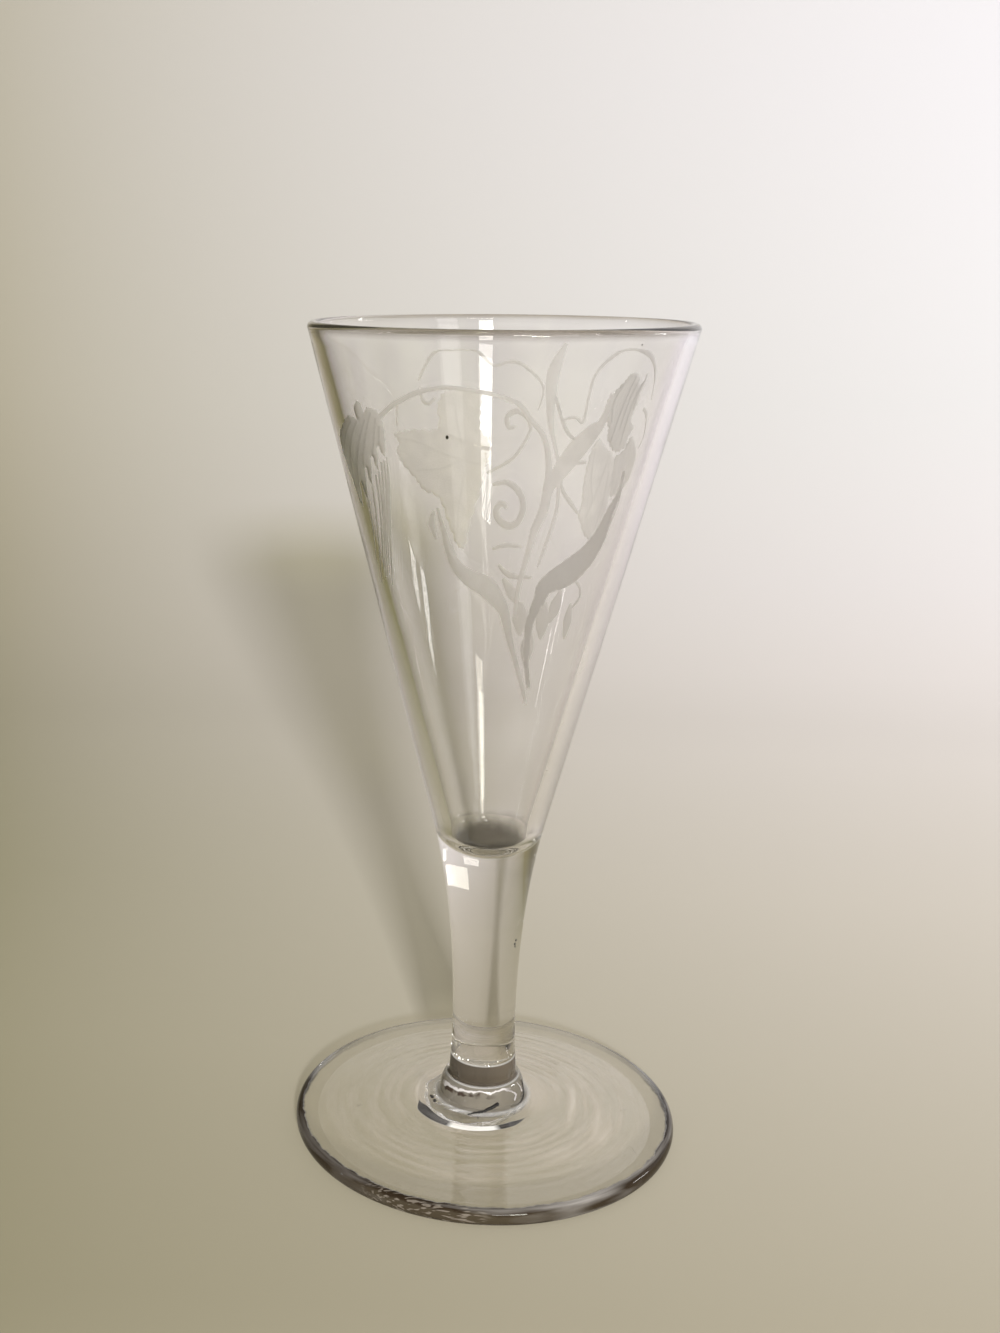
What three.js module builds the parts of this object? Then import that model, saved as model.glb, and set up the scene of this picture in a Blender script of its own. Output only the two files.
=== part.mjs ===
// Antique ale glass: a blown funnel bowl, a solid drawn stem and a round foot, three gathers of
// glass joined while hot, with the rough scar of the pontil rod left under the foot.
// Millimetres, +Z up. The origin is the centre of the ring that the foot stands on.

import * as THREE from "three";

// Driving dimensions, read from the photograph at a height of five inches
const glassHeight = 130;
const rimRadius = 28.7;
const footRadius = 30.3;
const stemWaistRadius = 5.1;

// Heights of the two hot joints: bowl on stem, and stem on foot
const seamHeight = 50.8;
const weldHeight = 12;

// A curved face that lies in its neighbour's hollow stays this far from it
const weldClearance = 0.3;

// Bowl
const rimThickness = 1.7;
const seamRadius = 8.5;
const bowlBaseThickness = 2.3;
const bowlFloorRadius = 6;
const bowlFloorRise = 4.5;

// Stem
const stemWaistHeight = 17;
const stemFlareHeight = 36.4;
const stemFootFlareHeight = 13.6;
const weldRadius = 5.3;
const cupRadius = 7.5;
const cupDepth = 5.6;

// Foot
const neckRadius = 5.5;
const neckBaseHeight = 8.9;
const bossRadius = 6.9;
const bossShoulderHeight = 7.7;
const bossBaseHeight = 5.2;
const footTopRadius = 9;
const footTopHeight = 4.5;
const footEdgeHeight = 2.7;
const footEdgeRounding = 1;
const restRingWidth = 2.6;
const kickRadius = 10.6;
const kickHeight = 1.9;

// Pontil scar
const scarRadius = 8;
const scarThickness = 1;
const scarHollowDepth = 0.45;
const scarOffset = -1.6;

// Shares of the scar's radius by which its broken outline swings, each with its count of swings
const scarOutlineShares = [
  { swings: 3, share: 0.035, phase: 0.4 },
  { swings: 7, share: 0.022, phase: 1.9 },
  { swings: 13, share: 0.012, phase: 4.1 },
];

// Counts of facets
const roundSegments = 64;
const curveSteps = 8;
const edgeSteps = 6;

// A point of a profile: its radius and its height
function at(radius, height) {
  return new THREE.Vector2(radius, height);
}

// Points of a quarter of an ellipse round centre, from angle to angle in quarter turns
function quarterArc(centre, radiusAcross, radiusUp, fromQuarter, toQuarter, steps) {
  return Array.from({ length: steps + 1 }, (_, i) => {
    const angle = (fromQuarter + ((toQuarter - fromQuarter) * i) / steps) * (Math.PI / 2);
    return at(
      centre.x + radiusAcross * Math.cos(angle),
      centre.y + radiusUp * Math.sin(angle),
    );
  });
}

// Points of a curve that leaves start towards pull and comes to end from there
function bend(start, pull, end, steps) {
  return new THREE.QuadraticBezierCurve(start, pull, end).getPoints(steps);
}

// A solid turned from a profile that runs up the outside and comes back to the axis
function turned(points) {
  const geometry = new THREE.LatheGeometry(points, roundSegments);
  geometry.rotateX(Math.PI / 2);
  return geometry;
}

function glassMesh(name, geometry, color, roughness) {
  const material = new THREE.MeshStandardMaterial({ color, roughness, metalness: 0 });
  const mesh = new THREE.Mesh(geometry, material);
  mesh.name = name;
  return mesh;
}

// The bowl is a straight funnel with a fire-rounded lip. Its closed end is a rounded plug in the
// stem's cup, and the flat shoulder round the plug sits on the lip of that cup.
function bowlGeometry() {
  const lipRadius = rimThickness / 2;
  const lipCentre = at(rimRadius - lipRadius, glassHeight - lipRadius);
  const plugRadius = cupRadius - weldClearance;
  const plugDepth = cupDepth - weldClearance;
  const plug = quarterArc(at(0, seamHeight), plugRadius, plugDepth, -1, 0, curveSteps);
  const shoulder = at(seamRadius, seamHeight);
  const lip = quarterArc(lipCentre, lipRadius, lipRadius, 0, 2, edgeSteps);
  const floorHeight = seamHeight - plugDepth + bowlBaseThickness;
  const floorCentre = at(0, floorHeight + bowlFloorRise);
  const floor = quarterArc(floorCentre, bowlFloorRadius, bowlFloorRise, 0, -1, curveSteps);
  return turned([...plug, shoulder, ...lip, ...floor]);
}

// The stem is solid. It swells from its waist to the cup that holds the end of the bowl, and
// spreads a little at its flat lower end.
function stemGeometry() {
  const waist = at(stemWaistRadius, stemWaistHeight);
  const lowerPull = at(stemWaistRadius, stemFootFlareHeight);
  const upperPull = at(stemWaistRadius, stemFlareHeight);
  const lower = bend(at(weldRadius, weldHeight), lowerPull, waist, edgeSteps);
  const upper = bend(waist, upperPull, at(seamRadius, seamHeight), curveSteps);
  const cup = quarterArc(at(0, seamHeight), cupRadius, cupDepth, 0, -1, curveSteps);
  return turned([at(0, weldHeight), ...lower, ...upper.slice(1), ...cup]);
}

// The foot carries the stem on a short neck and a rounded boss. Its top falls to a rounded edge,
// and under it a kick rises from the ring that it stands on to a flat centre.
function footGeometry() {
  const boss = bend(
    at(neckRadius, neckBaseHeight),
    at(bossRadius, bossShoulderHeight),
    at(bossRadius, bossBaseHeight),
    edgeSteps,
  );
  const spread = bend(
    at(bossRadius, bossBaseHeight),
    at(bossRadius, footTopHeight),
    at(footTopRadius, footTopHeight),
    edgeSteps,
  );
  const edgeCentre = at(footRadius - footEdgeRounding, footEdgeHeight / 2);
  const edge = quarterArc(edgeCentre, footEdgeRounding, footEdgeHeight / 2, 1, -1, curveSteps);
  const kickStart = at(edgeCentre.x - restRingWidth, 0);
  return turned([
    at(0, kickHeight),
    at(kickRadius, kickHeight),
    kickStart,
    ...edge.reverse(),
    ...spread.reverse(),
    ...boss.reverse().slice(1),
    at(weldRadius, weldHeight),
    at(0, weldHeight),
  ]);
}

// How far the scar's broken outline stands out at an angle, as a share of its radius
function scarSwing(angle) {
  const swings = scarOutlineShares.map(
    ({ swings: count, share, phase }) => share * Math.sin(count * angle + phase),
  );
  return 1 + swings.reduce((sum, swing) => sum + swing, 0);
}

// The scar is the glass that stayed behind when the rod was snapped off: a thin disc with a broken
// outline, flat where it joins the foot and hollow below.
function scarGeometry() {
  const top = kickHeight;
  const bottom = kickHeight - scarThickness;
  const ringCentre = at(scarRadius - scarThickness, top);
  const ring = quarterArc(ringCentre, scarThickness, scarThickness, -1, 0, edgeSteps);
  const geometry = turned([at(0, bottom + scarHollowDepth), ...ring, at(0, top)]);
  const position = geometry.getAttribute("position");
  for (let i = 0; i < position.count; i += 1) {
    const x = position.getX(i);
    const y = position.getY(i);
    const swing = scarSwing(Math.atan2(y, x));
    position.setXY(i, x * swing, y * swing);
  }
  return geometry;
}

const clearGlass = 0xe6e6dc;
const brokenGlass = 0xdcdcd2;
const polished = 0.03;
const broken = 0.35;

const aleGlass = new THREE.Group();
aleGlass.name = "ale_glass";

aleGlass.add(glassMesh("bowl", bowlGeometry(), clearGlass, polished));
aleGlass.add(glassMesh("stem", stemGeometry(), clearGlass, polished));
aleGlass.add(glassMesh("foot", footGeometry(), clearGlass, polished));

const pontilScar = glassMesh("pontil_scar", scarGeometry(), brokenGlass, broken);
pontilScar.position.x = scarOffset;
aleGlass.add(pontilScar);

export default aleGlass;
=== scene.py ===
"""Antique ale glass: a wheel-engraved funnel bowl on a solid stem and a disc foot with a pontil scar.

Lengths of the glass are millimetres and become metres where a mesh is made. The camera, the paper, the
lamps and the finishes are in metres. +Z is up, and the origin is the centre of the ring that the foot
stands on. A turn is an angle about Z in degrees, unless it says radians: 0 faces the camera, and it grows
to the right.
"""

from __future__ import annotations

import logging
import math
from collections.abc import Callable
from dataclasses import dataclass, field
from enum import Enum, IntEnum
from functools import partial, reduce

import bmesh
import bpy
import numpy as np
from mathutils import Matrix, Quaternion, Vector, noise
from mathutils.geometry import delaunay_2d_cdt


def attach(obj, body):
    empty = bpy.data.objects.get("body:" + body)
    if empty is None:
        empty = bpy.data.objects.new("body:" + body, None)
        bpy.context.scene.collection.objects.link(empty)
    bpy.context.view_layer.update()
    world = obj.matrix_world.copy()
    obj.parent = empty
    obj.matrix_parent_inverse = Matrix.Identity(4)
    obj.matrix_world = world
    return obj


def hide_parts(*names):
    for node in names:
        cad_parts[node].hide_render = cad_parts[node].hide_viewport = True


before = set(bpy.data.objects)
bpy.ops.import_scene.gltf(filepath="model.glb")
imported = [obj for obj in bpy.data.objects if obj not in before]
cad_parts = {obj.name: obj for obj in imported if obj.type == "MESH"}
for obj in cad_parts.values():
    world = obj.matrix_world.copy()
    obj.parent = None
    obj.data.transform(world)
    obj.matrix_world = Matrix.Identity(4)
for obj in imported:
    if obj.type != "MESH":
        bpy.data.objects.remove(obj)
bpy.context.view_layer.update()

MM = 0.001
VEIN_SHADE = "vein_shade"
TINY = 1e-12
LOG = logging.getLogger("ale_glass")

Point2 = tuple[float, float]
Point3 = tuple[float, float, float]
Socket = bpy.types.NodeSocket
Source = Socket | float | str | tuple
Node = bpy.types.Node
Material = bpy.types.Material
Mesh = bpy.types.Mesh
Object = bpy.types.Object


# Plain shapes

class Skin(IntEnum):
    """The finish of a face, as the number of the material slot it takes."""

    CLEAR = 0
    WELD = 1
    CUT = 2


@dataclass(frozen=True)
class Station:
    """One point of a turned outline, and the finish of the band that leads on from it."""

    radius: float
    height: float
    skin: Skin = Skin.CLEAR


def quarter_arc(
    centre: Point2, across: float, up: float, first: float, last: float, steps: int
) -> list[Point2]:
    """Gives points on part of an ellipse.

    Args:
        centre: Radius and height of its centre.
        across: Half its width.
        up: Half its height.
        first: Where it starts, in quarter turns from the outward direction.
        last: Where it ends, in quarter turns.
        steps: How many straight parts it has.

    Returns:
        Points as radius and height, both ends included.
    """
    found = []
    for i in range(steps + 1):
        turn = (first + (last - first) * i / steps) * math.pi / 2
        found.append((centre[0] + across * math.cos(turn), centre[1] + up * math.sin(turn)))
    return found


def bend(start: Point2, pull: Point2, end: Point2, steps: int) -> list[Point2]:
    """Gives points on a quadratic curve.

    Args:
        start: First point.
        pull: The point that the curve leans to.
        end: Last point.
        steps: How many straight parts it has.

    Returns:
        Points as radius and height, both ends included.
    """
    found = []
    for i in range(steps + 1):
        t = i / steps
        a, b, c = (1 - t) ** 2, 2 * t * (1 - t), t * t
        found.append((a * start[0] + b * pull[0] + c * end[0], a * start[1] + b * pull[1] + c * end[1]))
    return found


def straight(start: Point2, end: Point2, steps: int) -> list[Point2]:
    """Gives evenly spaced points on a straight line, both ends included."""
    run = (end[0] - start[0], end[1] - start[1])
    return [(start[0] + run[0] * i / steps, start[1] + run[1] * i / steps) for i in range(steps + 1)]


def stations(points: list[Point2], skin: Skin = Skin.CLEAR) -> list[Station]:
    """Turns outline points into stations of one finish."""
    return [Station(r, z, skin) for r, z in points]


@dataclass
class Draft:
    """Points and faces of one piece while it is being built, in millimetres."""

    segments: int = 192
    least_radius: float = 1e-6
    merge: float = 0.002
    points: list[Point3] = field(default_factory=list)
    faces: list[tuple[int, ...]] = field(default_factory=list)
    skins: list[int] = field(default_factory=list)

    def add_turned(self, outline: list[Station]) -> None:
        """Adds a surface of revolution.

        Args:
            outline: Stations from the underside round the outside and over the rim, so faces point out.
        """
        rings = [self.add_circle(s.radius, s.height) for s in outline]
        for low, high, s in zip(rings, rings[1:], outline):
            self.add_band(low, high, s.skin)

    def add_circle(self, radius: float, height: float) -> list[int]:
        """Adds a circle about the axis, or one point on the axis, and gives its point numbers."""
        if radius < self.least_radius:
            return self.add_ring([(0.0, 0.0, height)]) * self.segments
        turns = [2 * math.pi * step / self.segments for step in range(self.segments)]
        return self.add_ring([(radius * math.cos(a), radius * math.sin(a), height) for a in turns])

    def add_band(self, low: list[int], high: list[int], skin: Skin) -> None:
        """Joins two rings of point numbers with faces of one finish."""
        for j in range(self.segments):
            k = (j + 1) % self.segments
            corners = [low[j], low[k], high[k], high[j]]
            corners = [c for i, c in enumerate(corners) if c not in corners[:i]]
            if len(corners) > 2:
                self.faces.append(tuple(corners))
                self.skins.append(int(skin))

    def add_ring(self, points: list[Point3]) -> list[int]:
        """Adds points and gives their numbers."""
        self.points += points
        return list(range(len(self.points) - len(points), len(self.points)))

    def mesh(self, name: str) -> Mesh:
        """Makes a smooth mesh in metres, with points that lie nearer than the merge distance made one."""
        made = bpy.data.meshes.new(name)
        made.from_pydata([(x * MM, y * MM, z * MM) for x, y, z in self.points], [], self.faces)
        made.polygons.foreach_set("material_index", self.skins)
        b = bmesh.new()
        b.from_mesh(made)
        bmesh.ops.remove_doubles(b, verts=b.verts, dist=self.merge * MM)
        b.to_mesh(made)
        b.free()
        made.shade_smooth()
        return made


# Stage

@dataclass(frozen=True)
class PhotoCamera:
    """The camera at the photograph's viewpoint, with the sideways shift that its crop gives."""

    place: Point3 = (0.0, -0.2360, 0.1388)
    down: float = 14.68
    left: float = 5.016
    roll: float = 0.27
    lens: float = 42.56
    sensor: float = 36.0
    shift: float = 0.1054
    clip: Point2 = (0.01, 20.0)

    def build(self) -> Object:
        """Makes the camera and sets it as the scene's."""
        data = bpy.data.cameras.new("photo_camera")
        data.sensor_width = self.sensor
        data.lens = self.lens
        data.shift_x = self.shift
        data.clip_start, data.clip_end = self.clip
        heading, tilt, roll = (math.radians(a) for a in (self.left, self.down, self.roll))
        level = Vector((-math.sin(heading), math.cos(heading), 0.0))
        forward = level * math.cos(tilt) + Vector((0, 0, -math.sin(tilt)))
        right = Vector((math.cos(heading), math.sin(heading), 0.0))
        up = level * math.sin(tilt) + Vector((0, 0, math.cos(tilt)))
        across = right * math.cos(roll) + up * math.sin(roll)
        upward = up * math.cos(roll) - right * math.sin(roll)
        matrix = Matrix((across, upward, -forward)).transposed().to_4x4()
        matrix.translation = Vector(self.place)
        camera = bpy.data.objects.new("photo_camera", data)
        camera.matrix_world = matrix
        bpy.context.scene.collection.objects.link(camera)
        bpy.context.scene.camera = camera
        return camera


@dataclass(frozen=True)
class SweepPaper:
    """Floor and backdrop in one: a round flat that curves up into a wall on every side, in metres."""

    centre: Point2 = (0.0, -0.9)
    radius: float = 1.92
    fillet: float = 0.78
    wall_height: float = 1.3
    first_ring: float = 0.1
    flat_steps: int = 9
    fillet_steps: int = 24
    wall_steps: int = 6
    segments: int = 160

    def build(self, paper: Material) -> Object:
        """Makes the sweep.

        Args:
            paper: Its material.

        Returns:
            The stage object, with faces that look inwards.
        """
        flat = self.radius - self.fillet
        outline = [(0.0, 0.0)] + straight((flat * self.first_ring, 0.0), (flat, 0.0), self.flat_steps)
        outline += quarter_arc((flat, self.fillet), self.fillet, self.fillet, -1, 0, self.fillet_steps)[1:]
        wall_foot = (self.radius, self.fillet)
        outline += straight(wall_foot, (self.radius, self.wall_height), self.wall_steps)[1:]
        points, faces = [], []
        for r, z in outline:
            for j in range(self.segments):
                a = 2 * math.pi * j / self.segments
                points.append((self.centre[0] + r * math.cos(a), self.centre[1] + r * math.sin(a), z))
        for i in range(len(outline) - 1):
            for j in range(self.segments):
                k = (j + 1) % self.segments
                row, above = i * self.segments, (i + 1) * self.segments
                faces.append((row + j, above + j, above + k, row + k))
        made = bpy.data.meshes.new("sweep_paper")
        made.from_pydata(points, [], faces)
        made.shade_smooth()
        made.materials.append(paper)
        sweep = bpy.data.objects.new("sweep_paper", made)
        bpy.context.scene.collection.objects.link(sweep)
        return sweep


class LampRole(Enum):
    """What a lamp does: FILL lights the paper, and GLINT is only seen in the glass."""

    FILL = "fill"
    GLINT = "glint"


@dataclass(frozen=True)
class SoftLamp:
    """A rectangular soft lamp that the camera itself doesn't see."""

    name: str
    turn: float
    rise: float
    distance: float
    width: float
    height: float
    power: float
    lean: float = 0.0
    colour: Point3 = (1.0, 1.0, 1.0)
    role: LampRole = LampRole.GLINT
    aim_height: float = 0.065

    def build(self) -> Object:
        """Makes the lamp, aimed at a height on the axis of the glass."""
        data = bpy.data.lights.new(self.name, "AREA")
        data.shape = "RECTANGLE"
        data.size, data.size_y = self.width, self.height
        data.energy = self.power
        data.color = self.colour
        turn, rise = math.radians(self.turn), math.radians(self.rise)
        aim = Vector((0, 0, self.aim_height))
        away = Vector((math.sin(turn) * math.cos(rise), -math.cos(turn) * math.cos(rise), math.sin(rise)))
        lean = Quaternion((0, 0, 1), math.radians(self.lean))
        lamp = bpy.data.objects.new(self.name, data)
        lamp.rotation_euler = (away.to_track_quat("Z", "Y") @ lean).to_euler()
        lamp.location = aim + away * self.distance
        lamp.visible_camera = False
        lamp.visible_glossy = lamp.visible_transmission = self.role is LampRole.GLINT
        lamp.visible_diffuse = self.role is LampRole.FILL
        bpy.context.scene.collection.objects.link(lamp)
        return lamp


@dataclass(frozen=True)
class Studio:
    """All the light, and the render settings that clear glass needs."""

    lamps: tuple[SoftLamp, ...] = (
        SoftLamp(
            "key_lamp", turn=10.6, rise=16.5, distance=2.0,
            width=0.17, height=0.15, power=83.0, role=LampRole.FILL,
        ),
        SoftLamp(
            "second_key", turn=3.0, rise=16.5, distance=2.0,
            width=0.30, height=0.20, power=17.0, role=LampRole.FILL,
        ),
        SoftLamp(
            "upper_pane", turn=11.5, rise=24.6, distance=2.0,
            width=0.31, height=0.25, power=6.0, colour=(1.0, 0.99, 0.94),
        ),
        SoftLamp("side_pane", turn=38.0, rise=19.0, distance=2.0, width=0.46, height=0.8, power=1.8),
        SoftLamp(
            "near_lamp", turn=20.0, rise=14.5, distance=0.26,
            width=0.040, height=0.046, power=0.27, colour=(1.0, 0.985, 0.87), aim_height=0.045,
        ),
        SoftLamp(
            "right_glint", turn=98.5, rise=8.4, distance=1.0,
            width=0.24, height=0.04, power=1.4, lean=-29.0,
        ),
        SoftLamp("left_glint", turn=-84.0, rise=8.5, distance=1.0, width=0.03, height=0.06, power=0.12),
    )
    ceiling: Point3 = (0.64, 0.64, 0.64)
    dim_ceiling: Point3 = (0.22, 0.19, 0.18)
    strength: float = 1.0
    bounces: int = 24
    transmission_bounces: int = 20
    glossy_bounces: int = 12
    transparent_bounces: int = 32

    def build(self) -> None:
        """Makes the lamps and the world, and sets how far light is followed."""
        for lamp in self.lamps:
            lamp.build()
        world = bpy.data.worlds.new("room")
        world.use_nodes = True
        bench = NodeBench(world.node_tree)
        ground = world.node_tree.nodes["Background"]
        in_glass = bench.on_rays("Glossy", "Transmission")
        bench.feed(bench.mix_colour(in_glass, self.ceiling, self.dim_ceiling), ground.inputs["Color"])
        bench.feed(self.strength, ground.inputs["Strength"])
        scene = bpy.context.scene
        scene.world = world
        scene.view_settings.view_transform = "Standard"
        scene.cycles.caustics_refractive = False
        scene.cycles.caustics_reflective = False
        scene.cycles.max_bounces = self.bounces
        scene.cycles.transmission_bounces = self.transmission_bounces
        scene.cycles.glossy_bounces = self.glossy_bounces
        scene.cycles.transparent_max_bounces = self.transparent_bounces


# Finishes

@dataclass(frozen=True)
class Ramp:
    """A number that runs from start to end while what it follows runs from low to high."""

    low: float
    high: float
    start: float = 0.0
    end: float = 1.0
    smooth: bool = False


@dataclass(frozen=True)
class Mottle:
    """A noise pattern: its waves in a unit of length, and how many finer layers lie on it."""

    waves: float
    detail: float


class NodeBench:
    """Short ways to place and join the nodes of one tree."""

    def __init__(self, tree: bpy.types.NodeTree) -> None:
        """Keeps the tree."""
        self.tree = tree

    def add(self, kind: str, inputs: dict[str | int, Source] | None = None, **settings: object) -> Node:
        """Adds a node.

        Args:
            kind: Its type.
            inputs: Links or plain values for its inputs, by name or number.
            settings: Its plain properties, set before its inputs.

        Returns:
            The node.
        """
        made = self.tree.nodes.new(kind)
        for name, value in settings.items():
            setattr(made, name, value)
        for name, source in (inputs or {}).items():
            self.feed(source, made.inputs[name])
        return made

    def feed(self, source: Source, target: Socket) -> None:
        """Links a socket, or sets a plain value. A colour gets full opacity."""
        if isinstance(source, Socket):
            self.tree.links.new(source, target)
        elif target.type == "RGBA":
            target.default_value = (*source, 1.0)
        else:
            target.default_value = source

    def declare(self, in_out: str, **sockets: str) -> None:
        """Gives the group its sockets of one side. An underscore in a name stands for a blank."""
        for label, kind in sockets.items():
            name = label.replace("_", " ")
            self.tree.interface.new_socket(name, in_out=in_out, socket_type="NodeSocket" + kind)

    def math(self, operation: str, *values: Source) -> Socket:
        """Adds a Math node and gives its result."""
        return self.add("ShaderNodeMath", dict(enumerate(values)), operation=operation).outputs["Value"]

    def times(self, *values: Source) -> Socket:
        """Multiplies numbers."""
        return reduce(partial(self.math, "MULTIPLY"), values)

    def most(self, *values: Source) -> Socket:
        """Gives the largest of some numbers."""
        return reduce(partial(self.math, "MAXIMUM"), values)

    def less(self, first: Source, second: Source) -> Socket:
        """Takes the second number from the first."""
        return self.math("SUBTRACT", first, second)

    def size(self, value: Socket) -> Socket:
        """Gives a number without its sign."""
        return self.math("ABSOLUTE", value)

    def blend(self, value: Source, factor: Source, start: Source) -> Socket:
        """Gives start plus value times factor."""
        return self.math("MULTIPLY_ADD", value, factor, start)

    def length(self, x: Socket, y: Socket) -> Socket:
        """Gives the length of a flat vector."""
        return self.math("SQRT", self.blend(x, x, self.times(y, y)))

    def ramp(self, value: Socket, *ramps: Ramp) -> Socket:
        """Adds a clamped Map Range node for each ramp and gives their product."""
        made = []
        for ramp in ramps:
            ends = {"From Min": ramp.low, "From Max": ramp.high, "To Min": ramp.start, "To Max": ramp.end}
            shape = "SMOOTHSTEP" if ramp.smooth else "LINEAR"
            node = self.add("ShaderNodeMapRange", {"Value": value, **ends}, interpolation_type=shape)
            made.append(node.outputs["Result"])
        return self.times(*made)

    def mix_colour(self, share: Socket, first: Source, second: Source) -> Socket:
        """Adds a colour Mix node and gives its result."""
        inputs = {"Factor": share, 6: first, 7: second}
        return self.add("ShaderNodeMix", inputs, data_type="RGBA").outputs[2]

    def scaled(self, vector: Socket, value: Socket) -> Socket:
        """Multiplies a vector or a colour by a number."""
        inputs = {0: vector, "Scale": value}
        return self.add("ShaderNodeVectorMath", inputs, operation="SCALE").outputs["Vector"]

    def noise(self, where: Socket, mottle: Mottle) -> Socket:
        """Adds a Noise texture and gives its value, about 0.5 on average."""
        inputs = {"Vector": where, "Scale": mottle.waves, "Detail": mottle.detail}
        return self.add("ShaderNodeTexNoise", inputs).outputs["Fac"]

    def stretched(self, where: Socket, scale: Point3, turn: Point3 = (0.0, 0.0, 0.0)) -> Socket:
        """Turns and scales a place, so that what is laid on it stretches."""
        inputs = {"Vector": where, "Rotation": turn, "Scale": scale}
        return self.add("ShaderNodeMapping", inputs).outputs["Vector"]

    def place(self) -> Socket:
        """Gives the object coordinates of the shaded point."""
        return self.add("ShaderNodeTexCoord").outputs["Object"]

    def parts(self, vector: Socket) -> tuple[Socket, Socket, Socket]:
        """Splits a vector into X, Y and Z."""
        made = self.add("ShaderNodeSeparateXYZ", {"Vector": vector})
        return made.outputs["X"], made.outputs["Y"], made.outputs["Z"]

    def facing(self) -> Socket:
        """Gives how far the surface is turned from the viewer, from 0 to 1."""
        return self.add("ShaderNodeLayerWeight").outputs["Facing"]

    def on_rays(self, *kinds: str) -> Socket:
        """Gives 1 on rays of some kinds and 0 on others."""
        path = self.add("ShaderNodeLightPath")
        return self.most(*(path.outputs[f"Is {kind} Ray"] for kind in kinds))

    def mix_shader(self, share: Socket, first: Socket, second: Socket) -> Socket:
        """Adds a Mix Shader node and gives its result."""
        return self.add("ShaderNodeMixShader", {"Fac": share, 1: first, 2: second}).outputs["Shader"]

    def show(self, shader: Socket) -> None:
        """Adds the material's output node."""
        self.add("ShaderNodeOutputMaterial", {"Surface": shader})


def new_material(name: str) -> tuple[Material, NodeBench]:
    """Makes an empty node material."""
    material = bpy.data.materials.new(name)
    material.use_nodes = True
    material.node_tree.nodes.clear()
    return material, NodeBench(material.node_tree)


class HandledGlass:
    """Shader node group of what the hot shop and long use leave on glass: waves, scratches and smears."""

    name: str = "handled_glass"
    wave: Mottle = Mottle(85.0, 1.0)
    scratch: Mottle = Mottle(55.0, 0.0)
    scratch_middle: float = 0.5
    scratch_line: Ramp = Ramp(0.0, 0.005, 1.0, 0.0)
    scratch_turn: Point3 = (0.4, 0.7, 0.3)
    scratch_stretch: Point3 = (1.0, 4.0, 1.6)
    gap: Mottle = Mottle(220.0, 1.0)
    gap_share: Ramp = Ramp(0.52, 0.62)
    smear: Mottle = Mottle(70.0, 3.0)
    smear_share: Ramp = Ramp(0.48, 0.80, 0.0, 0.45)

    def tree(self) -> bpy.types.NodeTree:
        """Gives the group, made on its first use."""
        return bpy.data.node_groups.get(self.name) or self._build()

    def _build(self) -> bpy.types.NodeTree:
        """Makes the group."""
        made = bpy.data.node_groups.new(self.name, "ShaderNodeTree")
        bench = NodeBench(made)
        bench.declare("INPUT", Vector="Vector", Wave_Height="Float", Wear="Float")
        bench.declare("OUTPUT", Normal="Vector", Haze="Float")
        given = bench.add("NodeGroupInput").outputs
        where = given["Vector"]
        wave = {"Distance": given["Wave Height"], "Height": bench.noise(where, self.wave)}
        bump = bench.add("ShaderNodeBump", wave)
        winding = bench.noise(bench.stretched(where, self.scratch_stretch, self.scratch_turn), self.scratch)
        line = bench.ramp(bench.size(bench.less(winding, self.scratch_middle)), self.scratch_line)
        scratches = bench.times(line, bench.ramp(bench.noise(where, self.gap), self.gap_share))
        smears = bench.ramp(bench.noise(where, self.smear), self.smear_share)
        haze = bench.times(bench.most(scratches, smears), given["Wear"])
        bench.add("NodeGroupOutput", {"Normal": bump.outputs["Normal"], "Haze": haze})
        return made


@dataclass
class Look:
    """The nodes of a material, where the shaded point lies, and the looks that a finish may change."""

    bench: NodeBench
    where: Socket
    colour: Source
    normal: Socket
    haze: Socket
    passed: Socket


@dataclass(frozen=True)
class GlassFinish:
    """Glass that lets lamp light through as a thin shadow, darker where it is seen edge on."""

    name: str
    tint: Point3 = (0.985, 0.978, 0.968)
    roughness: float = 0.0
    refraction: float = 1.5
    shadow_face: Point3 = (0.72, 0.71, 0.46)
    shadow_edge: Point3 = (0.38, 0.37, 0.20)
    wave_height: float = 0.00003
    wear: float = 0.05
    bloom_shine: float = 0.2

    def build(self) -> Material:
        """Makes the material: clear glass, under a bloom as thick as its haze."""
        material, bench = new_material(self.name)
        where = bench.place()
        given = {"Vector": where, "Wave Height": self.wave_height, "Wear": self.wear}
        handled = bench.add("ShaderNodeGroup", given, node_tree=HandledGlass().tree()).outputs
        passed = bench.mix_colour(bench.facing(), self.shadow_face, self.shadow_edge)
        look = Look(bench, where, self.tint, handled["Normal"], handled["Haze"], passed)
        self.add_marks(look)
        shared = {"Base Color": look.colour, "Roughness": self.roughness}
        shared |= {"IOR": self.refraction, "Normal": look.normal}
        glass = bench.add("ShaderNodeBsdfPrincipled", {**shared, "Transmission Weight": 1.0})
        bloom = bench.add("ShaderNodeBsdfPrincipled", {**shared, "Specular IOR Level": self.bloom_shine})
        surface = bench.mix_shader(look.haze, glass.outputs["BSDF"], bloom.outputs["BSDF"])
        shadow = bench.add("ShaderNodeBsdfTransparent", {"Color": look.passed})
        bench.show(bench.mix_shader(bench.on_rays("Shadow", "Diffuse"), surface, shadow.outputs["BSDF"]))
        return material

    def add_marks(self, look: Look) -> None:
        """Changes what differs from plain glass, which is nothing here."""


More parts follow.
